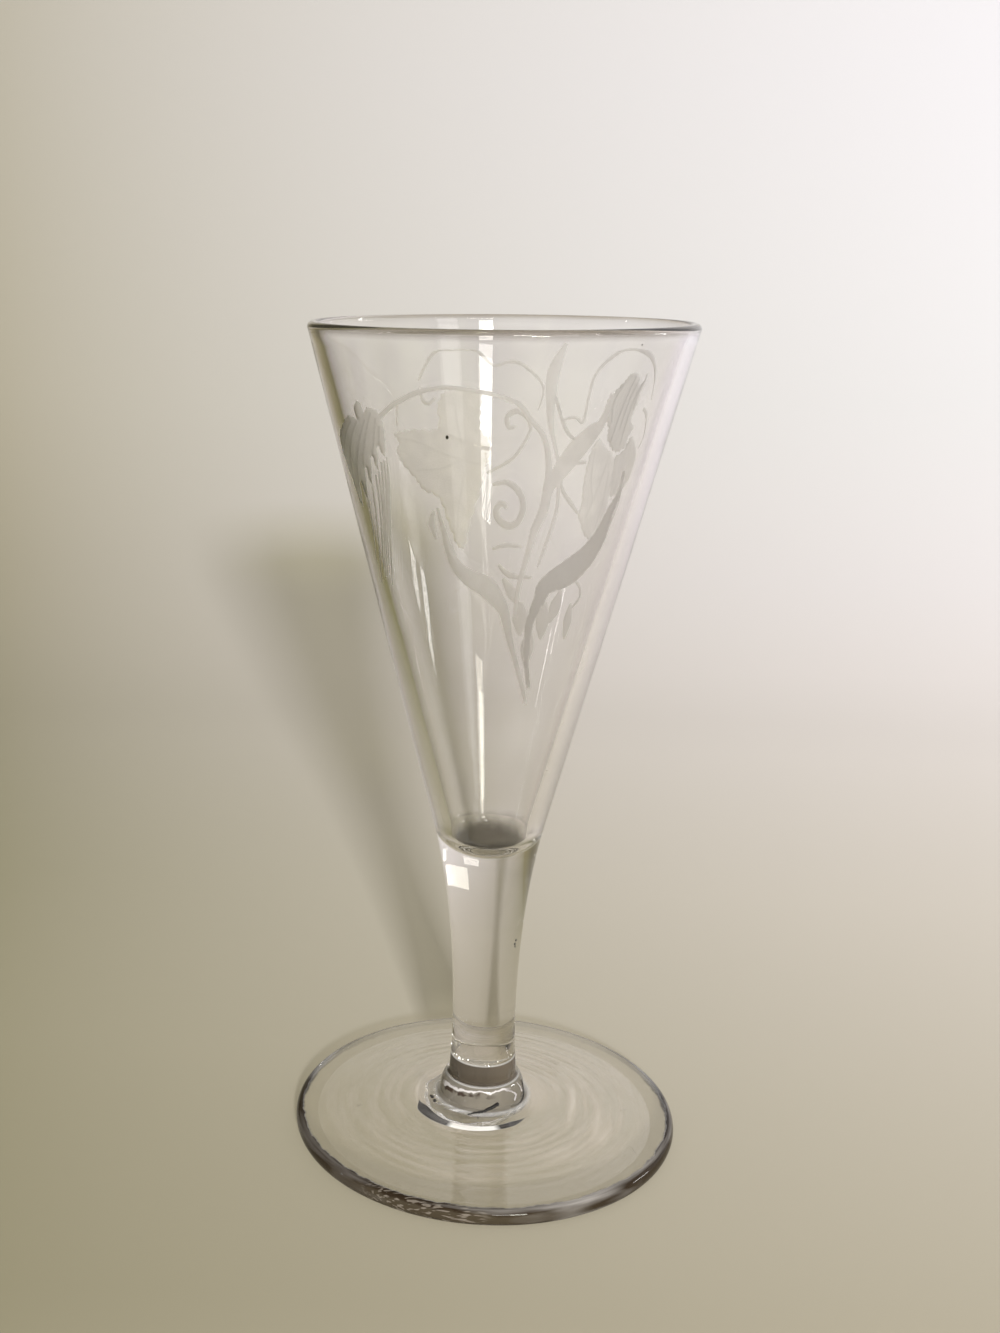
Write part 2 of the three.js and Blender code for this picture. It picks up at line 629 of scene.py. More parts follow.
@dataclass(frozen=True)
class BowlFinish(GlassFinish):
    """The bowl's glass, greyed with painted shade where it is seen edge on, along the front of its lip and
    on its inner floor.
    """

    name: str = "bowl_glass"
    tint: Point3 = (0.993, 0.987, 0.980)
    lower_tint: Point3 = (0.935, 0.930, 0.925)
    tint_rise: Ramp = Ramp(0.080, 0.108)
    # Painted shade where the walls are seen edge on, darker low down.
    edge_on: Ramp = Ramp(0.55, 0.85)
    edge_on_shade_low: Point3 = (0.49, 0.475, 0.52)
    edge_on_shade_high: Point3 = (0.77, 0.735, 0.86)
    edge_on_shade_rise: Ramp = Ramp(0.064, 0.126)
    streak_tint: Point3 = (0.955, 0.945, 0.955)
    streak_stretch: Point3 = (1.0, 1.0, 0.14)
    streak: Mottle = Mottle(240.0, 2.0)
    streak_share: Ramp = Ramp(0.50, 0.68)
    # Painted shade along the lip, strongest at the front.
    lip: Point3 = (0.60, 0.57, 0.55)
    lip_shade_rise: Ramp = Ramp(0.1278, 0.1288)
    lip_shade_back: Ramp = Ramp(-0.010, 0.004, 1.0, 0.30)
    # Painted shade on the inner floor.
    floor_shade: Point3 = (0.05, 0.046, 0.042)
    floor_shade_top: Ramp = Ramp(0.0486, 0.0510, 1.0, 0.0, smooth=True)
    floor_shade_edge: Mottle = Mottle(400.0, 3.0)
    floor_shade_raggedness: float = 0.002

    def add_marks(self, look: Look) -> None:
        """Adds the streaks, the grey of the walls, and painted shade where the walls are seen edge on,
        along the lip and on the inner floor.
        """
        bench = look.bench
        _, y, z = bench.parts(look.where)
        tint = bench.mix_colour(bench.ramp(z, self.tint_rise), self.lower_tint, self.tint)
        streaks = bench.noise(bench.stretched(look.where, self.streak_stretch), self.streak)
        tint = bench.mix_colour(bench.ramp(streaks, self.streak_share), tint, self.streak_tint)
        # Painted shade: the walls are greyer where they are seen edge on, and darker low down.
        upwards = bench.ramp(z, self.edge_on_shade_rise)
        edge_on_shade = bench.mix_colour(upwards, self.edge_on_shade_low, self.edge_on_shade_high)
        tint = bench.mix_colour(bench.ramp(bench.facing(), self.edge_on), tint, edge_on_shade)
        # Painted shade: a darker band along the lip, strongest at the front.
        lip = bench.times(bench.ramp(z, self.lip_shade_rise), bench.ramp(y, self.lip_shade_back))
        tint = bench.mix_colour(lip, tint, self.lip)
        # Painted shade: the inner floor is darkened nearly to black, with a ragged top edge.
        ragged = bench.blend(bench.noise(look.where, self.floor_shade_edge), -self.floor_shade_raggedness, z)
        look.colour = bench.mix_colour(bench.ramp(ragged, self.floor_shade_top), tint, self.floor_shade)


@dataclass(frozen=True)
class DiscPlace:
    """Where the shaded point lies: its place, its distance from the axis and its turn in radians."""

    where: Socket
    x: Socket
    y: Socket
    z: Socket
    reach: Socket
    turn: Socket


@dataclass(frozen=True)
class DiscFinish(GlassFinish):
    """The foot's glass: tool rings, painted shade on its edge and round its neck, a torn boss, and a fold
    under it in painted shade with a painted highlight.
    """

    name: str = "disc_glass"
    shadow_face: Point3 = (0.965, 0.955, 0.93)
    shadow_edge: Point3 = (0.86, 0.85, 0.80)
    bloom_shine: float = 0.12

    ring_pitch: float = 0.0012
    ring_drift: float = 1.3
    ring: Mottle = Mottle(1.0, 3.0)
    ring_haze: Ramp = Ramp(0.46, 0.74, 0.0, 0.19)
    ring_side: Ramp = Ramp(-0.024, 0.016, 0.45, 1.0)
    ring_inner: Ramp = Ramp(0.0085, 0.0105)
    ring_outer: Ramp = Ramp(0.020, 0.0285, 1.0, 0.12)
    mist: Point3 = (0.86, 0.81, 0.75)
    mist_share: Ramp = Ramp(0.0, 0.08)

    collar_haze: Ramp = Ramp(0.0080, 0.0135, 0.16, 0.0, smooth=True)
    collar_back: Ramp = Ramp(-0.007, -0.001)
    halo_radius: float = 0.0107
    halo_width: Ramp = Ramp(0.00015, 0.00055, 1.0, 0.0)
    halo_haze: Ramp = Ramp(-1.40, -1.10, 0.16, 0.0)
    collar_top: Ramp = Ramp(0.0044, 0.0048, 1.0, 0.0)

    # Painted shade on the foot's edge, weak at the back, with darker lines and ends.
    edge_shade_dark: Point3 = (0.017, 0.011, 0.006)
    edge_shade_middle: Point3 = (0.034, 0.026, 0.016)
    edge_centre: Point2 = (0.0003, -0.0006)
    edge_shade_mottle: Mottle = Mottle(420.0, 3.0)
    edge_roughness: float = 0.0011
    edge_reach: Ramp = Ramp(0.03002, 0.03038)
    edge_back: Ramp = Ramp(0.004, 0.024, 1.0, 0.25)
    edge_haze: Ramp = Ramp(0.55, 1.0, 0.0, 0.90)
    edge_shadow: float = 0.25
    line_shade_mottle: Mottle = Mottle(320.0, 3.0)
    line_roughness: float = 0.0016
    line_below: Ramp = Ramp(0.0012, 0.0016, 1.0, 0.0)
    line_above: Ramp = Ramp(0.0028, 0.0032)
    ends_middle: float = -0.004
    ends_reach: Ramp = Ramp(0.010, 0.021)
    ends_mottle: Mottle = Mottle(230.0, 2.0)
    ends_share: Ramp = Ramp(0.35, 0.6, 1.0, 0.75)
    # Painted glints on the front of the edge.
    edge_glint: Point3 = (0.110, 0.093, 0.073)
    edge_glint_stretch: Point3 = (0.16, 1.0, 1.3)
    edge_glint_mottle: Mottle = Mottle(2400.0, 1.0)
    edge_glint_share: Ramp = Ramp(0.57, 0.63)
    edge_glint_left: Ramp = Ramp(-0.0185, -0.0145)
    edge_glint_right: Ramp = Ramp(-0.0015, 0.0025, 1.0, 0.0)
    edge_glint_front: Ramp = Ramp(-0.0265, -0.0205, 1.0, 0.0)

    # Painted shade round the front of the neck, lighter at the right.
    neck_shade: Point3 = (0.047, 0.038, 0.028)
    neck_shade_right: Point3 = (0.072, 0.058, 0.042)
    neck_shade_side: Ramp = Ramp(0.0005, 0.0042)
    neck_shade_low: Ramp = Ramp(0.0084, 0.0086)
    neck_shade_high: Ramp = Ramp(0.01172, 0.01188, 1.0, 0.0)
    neck_shade_back: Ramp = Ramp(-0.0008, 0.0004, 1.0, 0.1)
    neck_shade_falloff: float = 3.0
    neck_shade_haze: float = 0.72

    boss: Point3 = (0.140, 0.125, 0.100)
    boss_low: Ramp = Ramp(0.00458, 0.00498)
    boss_high: Ramp = Ramp(0.0082, 0.0086, 1.0, 0.0)
    boss_haze: Ramp = Ramp(-0.003, 0.003, 0.68, 0.35)
    boss_share: Ramp = Ramp(0.0, 0.6)
    # A pale tear, partly a painted highlight.
    tear: Point3 = (0.36, 0.335, 0.32)
    tear_height: float = 0.00785
    tear_sag: float = 0.00059
    tear_sag_start: float = 0.09
    tear_mottle: Mottle = Mottle(620.0, 4.0)
    tear_roughness: float = 0.0013
    tear_left: Ramp = Ramp(-1.35, -1.15)
    tear_right: Ramp = Ramp(0.64, 0.84, 1.0, 0.0)
    tear_thickness: Ramp = Ramp(-1.1, -0.3, 0.00032, 0.00014)
    tear_border: Ramp = Ramp(-0.00005, 0.00005, 1.0, 0.0)
    # Painted shade under the tear.
    under_tear_shade: Point3 = (0.035, 0.024, 0.018)
    under_tear_drop: float = 0.00065
    under_tear_width: Ramp = Ramp(0.00026, 0.00038, 1.0, 0.0)
    under_tear_right: Ramp = Ramp(-0.10, 0.40, 1.0, 0.0)
    under_tear_mottle: Mottle = Mottle(480.0, 2.0)
    under_tear_share: Ramp = Ramp(0.46, 0.54)
    under_tear_haze: float = 0.8

    # The fold's painted shade, and the painted highlight in its middle.
    fold_shade: Point3 = (0.007, 0.005, 0.004)
    fold_shine: Point3 = (0.9, 0.9, 0.9)
    fold_centre: float = -0.0008
    fold_radius: float = 0.00955
    fold_width: float = 0.0007
    least_width: float = 0.00001
    fold_left: Ramp = Ramp(-1.42, -1.10, smooth=True)
    fold_right: Ramp = Ramp(0.62, 0.98, 1.0, 0.0, smooth=True)
    fold_fatter: Ramp = Ramp(-1.0, -0.5, 1.45, 1.0)
    fold_border: Ramp = Ramp(0.85, 1.0, 1.0, 0.0)
    fold_top: Ramp = Ramp(0.0021, 0.0025, 1.0, 0.0)
    shine_left: Ramp = Ramp(-0.50, -0.40)
    shine_right: Ramp = Ramp(0.30, 0.42, 1.0, 0.0)
    fold_haze: float = 0.97

    def add_marks(self, look: Look) -> None:
        """Adds the rings, the edge, the neck, the boss and the fold."""
        bench = look.bench
        x, y, z = bench.parts(look.where)
        turn = bench.math("ARCTAN2", x, bench.times(y, -1.0))
        at = DiscPlace(look.where, x, y, z, bench.length(x, y), turn)
        streaks = bench.most(self._rings(bench, at), self._collar(bench, at))
        # Painted shade on the foot's edge, weak at the back.
        edge = self._edge_shade_mask(bench, at)
        colour = bench.mix_colour(edge, self.tint, self._edge_shade_tone(bench, at))
        colour = bench.mix_colour(bench.ramp(streaks, self.mist_share), colour, self.mist)
        # Painted shade: a dark band round the front of the neck, lighter at the right.
        neck_shade = bench.times(bench.ramp(z, self.neck_shade_low, self.neck_shade_high), bench.ramp(y, self.neck_shade_back))
        neck_shade_tone = bench.mix_colour(bench.ramp(x, self.neck_shade_side), self.neck_shade, self.neck_shade_right)
        colour = bench.mix_colour(neck_shade, colour, neck_shade_tone)
        boss = bench.times(bench.ramp(z, self.boss_low, self.boss_high), bench.ramp(y, self.boss_haze))
        colour = bench.mix_colour(bench.ramp(boss, self.boss_share), colour, self.boss)
        # A pale tear round the boss's shoulder, partly a painted highlight, with painted shade under it.
        tear, under_tear_shade = self._tear(bench, at)
        colour = bench.mix_colour(tear, bench.mix_colour(under_tear_shade, colour, self.under_tear_shade), self.tear)
        # Painted shade: a near-black crescent under the front of the boss, with a painted highlight in its
        # middle.
        fold_shade, shine = self._fold(bench, at)
        look.colour = bench.mix_colour(fold_shade, colour, bench.mix_colour(shine, self.fold_shade, self.fold_shine))
        look.haze = bench.most(
            look.haze,
            streaks,
            bench.times(fold_shade, self.fold_haze),
            tear,
            bench.times(under_tear_shade, self.under_tear_haze),
            boss,
            bench.ramp(edge, self.edge_haze),
            bench.times(bench.math("POWER", neck_shade, self.neck_shade_falloff), self.neck_shade_haze),
        )
        look.passed = bench.mix_colour(bench.times(edge, self.edge_shadow), look.passed, self.edge_shade_dark)

    def _edge_shade_mask(self, bench: NodeBench, at: DiscPlace) -> Socket:
        """Gives the mask of the painted shade on the foot's edge, weak at the back."""
        across, along = (bench.less(side, middle) for side, middle in zip((at.x, at.y), self.edge_centre))
        wear = bench.noise(at.where, self.edge_shade_mottle)
        reach = bench.blend(wear, self.edge_roughness, bench.length(across, along))
        return bench.times(bench.ramp(reach, self.edge_reach), bench.ramp(at.y, self.edge_back))

    def _edge_shade_tone(self, bench: NodeBench, at: DiscPlace) -> Socket:
        """Gives the edge's painted colour: shaded lines above and below, shaded ends, and painted glints in
        front.
        """
        height = bench.blend(bench.noise(at.where, self.line_shade_mottle), self.line_roughness, at.z)
        ends = bench.ramp(bench.size(bench.less(at.x, self.ends_middle)), self.ends_reach)
        ends = bench.times(ends, bench.ramp(bench.noise(at.where, self.ends_mottle), self.ends_share))
        dark = bench.most(bench.ramp(height, self.line_below), bench.ramp(height, self.line_above), ends)
        tone = bench.mix_colour(dark, self.edge_shade_middle, self.edge_shade_dark)
        # Painted glints: lighter flecks along the front of the edge.
        edge_glints = bench.noise(bench.stretched(at.where, self.edge_glint_stretch), self.edge_glint_mottle)
        edge_glints = bench.times(
            bench.ramp(edge_glints, self.edge_glint_share),
            bench.ramp(at.x, self.edge_glint_left, self.edge_glint_right),
            bench.ramp(at.y, self.edge_glint_front),
        )
        return bench.mix_colour(edge_glints, tone, self.edge_glint)

    def _tear(self, bench: NodeBench, at: DiscPlace) -> tuple[Socket, Socket]:
        """Gives the masks of the bright tear round the boss's shoulder, partly a painted highlight, and of
        the painted shade under it.
        """
        past = bench.most(bench.less(bench.times(at.turn, -1.0), self.tear_sag_start), 0.0)
        sag = bench.times(past, past, self.tear_sag)
        above = bench.less(bench.math("ADD", at.z, sag), self.tear_height)
        mottle = bench.noise(at.where, self.tear_mottle)
        ragged = bench.blend(mottle, self.tear_roughness, bench.less(above, self.under_tear_drop))
        ends = bench.ramp(at.turn, self.tear_left, self.tear_right)
        beyond = bench.less(bench.size(ragged), bench.ramp(at.turn, self.tear_thickness))
        tear = bench.times(bench.ramp(beyond, self.tear_border), ends)
        under = bench.size(bench.math("ADD", ragged, self.under_tear_drop))
        under_tear_shade = bench.times(bench.ramp(under, self.under_tear_width), ends, bench.ramp(at.turn, self.under_tear_right))
        return tear, bench.times(under_tear_shade, bench.ramp(bench.noise(at.where, self.under_tear_mottle), self.under_tear_share))

    def _rings(self, bench: NodeBench, at: DiscPlace) -> Socket:
        """Gives the haze of the pale tool rings, stronger on the right."""
        around = {}
        for side, way in (("X", at.x), ("Y", at.y)):
            around[side] = bench.times(bench.math("DIVIDE", way, at.reach), self.ring_drift)
        outwards = bench.math("DIVIDE", at.reach, self.ring_pitch)
        rings = bench.add("ShaderNodeCombineXYZ", {**around, "Z": outwards}).outputs["Vector"]
        haze = bench.ramp(bench.noise(rings, self.ring), self.ring_haze)
        within = bench.ramp(at.reach, self.ring_inner, self.ring_outer)
        return bench.times(haze, bench.ramp(at.x, self.ring_side), within)

    def _collar(self, bench: NodeBench, at: DiscPlace) -> Socket:
        """Gives the haze round the boss: a collar behind it and a thin halo at its left."""
        collar = bench.times(bench.ramp(at.reach, self.collar_haze), bench.ramp(at.y, self.collar_back))
        beside = bench.size(bench.less(at.reach, self.halo_radius))
        halo = bench.times(bench.ramp(beside, self.halo_width), bench.ramp(at.turn, self.halo_haze))
        return bench.times(bench.most(collar, halo), bench.ramp(at.z, self.collar_top))

    def _fold(self, bench: NodeBench, at: DiscPlace) -> tuple[Socket, Socket]:
        """Gives the mask of the fold's painted shade on the underside's front, and of the painted highlight
        in its middle.
        """
        across = bench.less(at.x, self.fold_centre)
        forward = bench.times(at.y, -1.0)
        off = bench.size(bench.less(bench.length(across, forward), self.fold_radius))
        turn = bench.math("ARCTAN2", across, forward)
        fatness = bench.ramp(turn, self.fold_left, self.fold_right, self.fold_fatter)
        width = bench.times(fatness, self.fold_width)
        share = bench.math("DIVIDE", off, bench.math("ADD", width, self.least_width))
        fold_shade = bench.times(bench.ramp(share, self.fold_border), bench.ramp(at.z, self.fold_top))
        return fold_shade, bench.ramp(turn, self.shine_left, self.shine_right)


@dataclass(frozen=True)
class CutFinish(GlassFinish):
    """Glass cut by a stone wheel and left unpolished: grey and silky, with the wheel's fine marks."""

    name: str = "wheel_cut_glass"
    tint: Point3 = (0.90, 0.88, 0.85)
    vein_tint: Point3 = (0.30, 0.29, 0.27)
    roughness: float = 0.38
    shadow_face: Point3 = (0.80, 0.79, 0.77)
    mark: Mottle = Mottle(2600.0, 2.0)
    mark_height: float = 0.00003
    stain: Mottle = Mottle(420.0, 2.0)
    stain_share: Ramp = Ramp(0.35, 0.65, 0.0, 0.18)

    def add_marks(self, look: Look) -> None:
        """Adds the wheel's marks, and a darker tone along the veins."""
        bench = look.bench
        height = bench.noise(look.where, self.mark)
        marks = {"Distance": self.mark_height, "Height": height, "Normal": look.normal}
        look.normal = bench.add("ShaderNodeBump", marks).outputs["Normal"]
        vein = bench.add("ShaderNodeAttribute", attribute_name=VEIN_SHADE).outputs["Fac"]
        stain = bench.ramp(bench.noise(look.where, self.stain), self.stain_share)
        look.colour = bench.mix_colour(bench.most(vein, stain), self.tint, self.vein_tint)


@dataclass(frozen=True)
class GrainFinish:
    """A seed or stone caught in the glass: a mottled, slightly shining speck, which may glow as a painted
    glint.
    """

    name: str
    pale: Point3
    deep: Point3
    roughness: float
    # Strength of the glow that paints a glint.
    glint_glow: float = 0.0
    mottle: Mottle = Mottle(3000.0, 3.0)

    def build(self) -> Material:
        """Makes the material."""
        material, bench = new_material(self.name)
        tone = bench.mix_colour(bench.noise(bench.place(), self.mottle), self.pale, self.deep)
        looks = {"Base Color": tone, "Roughness": self.roughness}
        # The emission paints a glint.
        looks |= {"Emission Color": tone, "Emission Strength": self.glint_glow}
        speck = bench.add("ShaderNodeBsdfPrincipled", looks)
        bench.show(speck.outputs["BSDF"])
        return material


@dataclass(frozen=True)
class WeldFinish:
    """The hot joint between two pieces of glass, which can't be seen from either side."""

    name: str = "glass_weld"

    def build(self) -> Material:
        """Makes the material."""
        material, bench = new_material(self.name)
        bench.show(bench.add("ShaderNodeBsdfTransparent").outputs["BSDF"])
        return material


@dataclass(frozen=True)
class PaperFinish:
    """Matte paper painted with light and shade: olive grey at the left to a rosy white at the right and
    top, and darker towards the camera and far to the left.
    """

    name: str = "sweep_paper"
    run: Ramp = Ramp(-0.10, 1.15)
    # Painted light: darker at the left and front, lighter at the right and back.
    left_tones: tuple[tuple[float, Point3], ...] = (
        (-0.05, (0.197, 0.178, 0.102)),
        (0.02, (0.209, 0.190, 0.105)),
        (0.10, (0.180, 0.165, 0.077)),
        (0.40, (0.214, 0.187, 0.098)),
        (0.62, (0.256, 0.223, 0.137)),
        (1.05, (0.268, 0.239, 0.163)),
    )
    right_tones: tuple[tuple[float, Point3], ...] = (
        (-0.05, (0.362, 0.325, 0.250)),
        (0.10, (0.556, 0.510, 0.452)),
        (0.20, (0.643, 0.596, 0.558)),
        (0.29, (0.671, 0.626, 0.605)),
        (0.40, (0.653, 0.619, 0.614)),
        (0.62, (0.617, 0.603, 0.602)),
        (1.05, (0.614, 0.598, 0.616)),
    )
    roughness: float = 0.9
    shine: float = 0.1
    front: float = -0.05
    half_width: float = 0.09
    widening: float = 0.30
    across: Ramp = Ramp(-1.15, 1.15)
    middle_lift: float = 0.63
    # Painted shade towards the camera and far to the left.
    room: Ramp = Ramp(-1.1, -0.10, 0.30, 1.0)
    picture_side: float = 0.10
    picture_spread: float = 0.335
    dim_side: Ramp = Ramp(0.0, 0.16, 1.0, 0.46, smooth=True)
    around: Point3 = (0.50, 0.485, 0.455)
    around_share: Ramp = Ramp(0.04, 0.45, smooth=True)
    behind_camera: float = 0.12
    far_share: Ramp = Ramp(0.6, 1.3, smooth=True)
    far_back: Ramp = Ramp(0.1, 0.5, 1.0, 0.0)

    def build(self) -> Material:
        """Makes the material."""
        material, bench = new_material(self.name)
        x, y, z = bench.parts(bench.place())
        run = bench.ramp(bench.math("ADD", y, z), self.run)
        back = bench.most(y, self.front)
        side = bench.math("DIVIDE", x, bench.blend(back, self.widening, self.half_width))
        share = bench.math("POWER", bench.ramp(side, self.across), self.middle_lift)
        # Painted light: the tones run darker at the left and front, lighter at the right and back.
        left, right = (self._tones(bench, run, tones) for tones in (self.left_tones, self.right_tones))
        beside = bench.blend(back, self.picture_spread, self.picture_side)
        outside = bench.less(bench.times(x, -1.0), beside)
        # Painted shade: darker towards the camera and far to the left.
        shade = bench.times(bench.ramp(y, self.room), bench.ramp(outside, self.dim_side))
        tone = bench.scaled(bench.mix_colour(share, left, right), shade)
        matte = {"Base Color": tone, "Roughness": self.roughness, "Specular IOR Level": self.shine}
        paper = bench.add("ShaderNodeBsdfPrincipled", matte).outputs["BSDF"]
        glow = bench.add("ShaderNodeEmission", {"Color": self.around}).outputs["Emission"]
        bench.show(bench.mix_shader(self._around(bench, x, y, beside), paper, glow))
        return material

    def _around(self, bench: NodeBench, x: Socket, y: Socket, beside: Socket) -> Socket:
        """Gives the share of even pale paper that is seen outside the picture, and far off in the glass."""
        sideways = bench.less(bench.size(x), beside)
        backwards = bench.blend(y, -1.0, -self.behind_camera)
        near = bench.ramp(bench.most(sideways, backwards), self.around_share)
        far = bench.times(bench.ramp(bench.length(x, y), self.far_share), bench.ramp(y, self.far_back))
        shown = bench.times(near, bench.on_rays("Camera"))
        return bench.most(shown, bench.times(far, bench.on_rays("Glossy", "Transmission")))

    def _tones(self, bench: NodeBench, run: Socket, tones: tuple[tuple[float, Point3], ...]) -> Socket:
        """Makes a colour ramp over the paper's run from front to back."""
        made = bench.add("ShaderNodeValToRGB", {"Fac": run})
        stops = made.color_ramp.elements
        for i, (depth, tone) in enumerate(tones):
            at = (depth - self.run.low) / (self.run.high - self.run.low)
            stop = stops[i] if i < 2 else stops.new(at)
            stop.position = at
            stop.color = (*tone, 1.0)
        return made.outputs["Color"]


# The glass

@dataclass(frozen=True)
class Lumps:
    """Smooth random bumps: their waves in a unit of length each way, their layer and their size."""

    across: float
    along: float
    layer: float
    size: float

    def at(self, x: float, y: float) -> float:
        """Gives the bump at a place."""
        return self.size * noise.noise(Vector((x * self.across, y * self.along, self.layer)))


@dataclass(frozen=True)
class Joint:
    """Where the pieces were joined while hot, and the hair's breadth that keeps the pieces apart."""

    seam_height: float = 50.8
    weld_height: float = 12.0
    weld_radius: float = 5.3
    seam_radius: float = 8.5
    cup_radius: float = 7.5
    cup_depth: float = 5.6
    cup_steps: int = 12
    groove: float = 0.12
    hair: float = 0.02


@dataclass
class Bowl:
    """The funnel bowl, with the plug under it that is seated in the stem's cup."""

    joint: Joint
    height: float = 129.4
    rim_radius: float = 28.545
    rim_thickness: float = 1.7
    rim_steps: int = 20
    base_thickness: float = 2.3
    floor_radius: float = 6.0
    floor_rise: float = 4.5
    floor_steps: int = 14
    lower_steps: int = 12
    inside_steps: int = 40
    segments: int = 192
    wall_play: float = 0.08

    @property
    def lip(self) -> float:
        """Radius of the rounded rim."""
        return self.rim_thickness / 2

    @property
    def slope(self) -> float:
        """Growth of the outer radius with height."""
        rise = self.height - self.lip - self.joint.seam_height
        return (self.rim_radius - self.joint.seam_radius) / rise

    def outer_radius(self, height: float) -> float:
        """Gives the radius of the plain outer wall at a height."""
        return self.joint.seam_radius + self.slope * (height - self.joint.seam_height)

    def build(self) -> Object:
        """Makes the bowl's object."""
        j = self.joint
        wall = EngravedWall(self)
        plug_depth = j.cup_depth - j.hair
        plug_top = (0.0, j.seam_height + j.hair)
        plug = quarter_arc(plug_top, j.cup_radius - j.hair, plug_depth, -1, 0, j.cup_steps)
        wall_foot = (self.outer_radius(wall.low), wall.low)
        lower = straight((j.seam_radius, j.seam_height + j.hair), wall_foot, self.lower_steps)
        lip_centre = (self.rim_radius - self.lip, self.height - self.lip)
        inner_top = (lip_centre[0] - self.lip, lip_centre[1])
        floor_centre = (0.0, j.seam_height - plug_depth + j.hair + self.base_thickness + self.floor_rise)
        upper = [(self.outer_radius(wall.high), wall.high)]
        upper += quarter_arc(lip_centre, self.lip, self.lip, 0, 2, self.rim_steps)
        upper += straight(inner_top, (self.floor_radius, floor_centre[1]), self.inside_steps)[1:]
        upper += quarter_arc(floor_centre, self.floor_radius, self.floor_rise, 0, -1, self.floor_steps)[1:]
        draft = Draft(self.segments)
        draft.add_turned(stations(plug, Skin.WELD) + stations(lower))
        draft.add_turned(stations(upper))
        wall.collect(Ornament())
        wall.add_to(draft)
        mesh = draft.mesh("bowl_glass")
        wall.shade_veins(mesh)
        return bpy.data.objects.new("bowl_glass", mesh)

    def smooth_wall(self, mesh: Mesh) -> None:
        """Gives the polished outer wall the normals of a true cone, and the cuts crisp borders.

        Args:
            mesh: The bowl's mesh, with its sharp edges marked.
        """
        skins = np.zeros(len(mesh.polygons), int)
        mesh.polygons.foreach_get("material_index", skins)
        owner: dict[tuple[int, int], int] = {}
        borders = set()
        for poly in mesh.polygons:
            for key in poly.edge_keys:
                if owner.setdefault(key, skins[poly.index]) != skins[poly.index]:
                    borders.add(key)
        for edge in mesh.edges:
            if edge.key in borders:
                edge.use_edge_sharp = True
        normals = [tuple(n.vector) for n in mesh.corner_normals]
        lean = math.hypot(1.0, self.slope)
        for poly in mesh.polygons:
            centre = poly.center / MM
            off_wall = abs(math.hypot(centre.x, centre.y) - self.outer_radius(centre.z))
            on_height = self.joint.seam_height < centre.z < self.height - self.lip
            if skins[poly.index] != Skin.CLEAR or not on_height or off_wall > self.wall_play:
                continue
            for corner in poly.loop_indices:
                v = mesh.vertices[mesh.loops[corner].vertex_index].co
                r = math.hypot(v.x, v.y)
                normals[corner] = (v.x / r / lean, v.y / r / lean, -self.slope / lean)
        mesh.normals_split_custom_set(normals)


@dataclass
class Stem:
    """The solid stem, thin near the foot and flaring to the cup that holds the bowl."""

    joint: Joint
    waist_radius: float = 5.1
    waist_height: float = 17.0
    flare_height: float = 36.4
    foot_flare_height: float = 13.6
    foot_steps: int = 10
    flare_steps: int = 40
    segments: int = 128

    def build(self) -> Object:
        """Makes the stem's object."""
        j = self.joint
        waist = (self.waist_radius, self.waist_height)
        low = (j.weld_radius, j.weld_height + 2 * j.groove)
        low_pull = (self.waist_radius, self.foot_flare_height)
        side = bend(low, low_pull, waist, self.foot_steps)
        seam = (j.seam_radius, j.seam_height)
        side += bend(waist, (self.waist_radius, self.flare_height), seam, self.flare_steps)[1:]
        cup = quarter_arc((0.0, j.seam_height), j.cup_radius, j.cup_depth, 0, -1, j.cup_steps)
        outline = [Station(0.0, j.weld_height, Skin.WELD), Station(j.weld_radius - j.groove, j.weld_height)]
        outline += stations(side[:-1]) + [Station(*side[-1], Skin.WELD)] + stations(cup, Skin.WELD)
        draft = Draft(self.segments)
        draft.add_turned(outline)
        return bpy.data.objects.new("stem_glass", draft.mesh("stem_glass"))


@dataclass(frozen=True)
class Swing:
    """One wave of a broken outline: its count in a turn, its share of the radius, and its phase."""

    count: int
    share: float
    phase: float


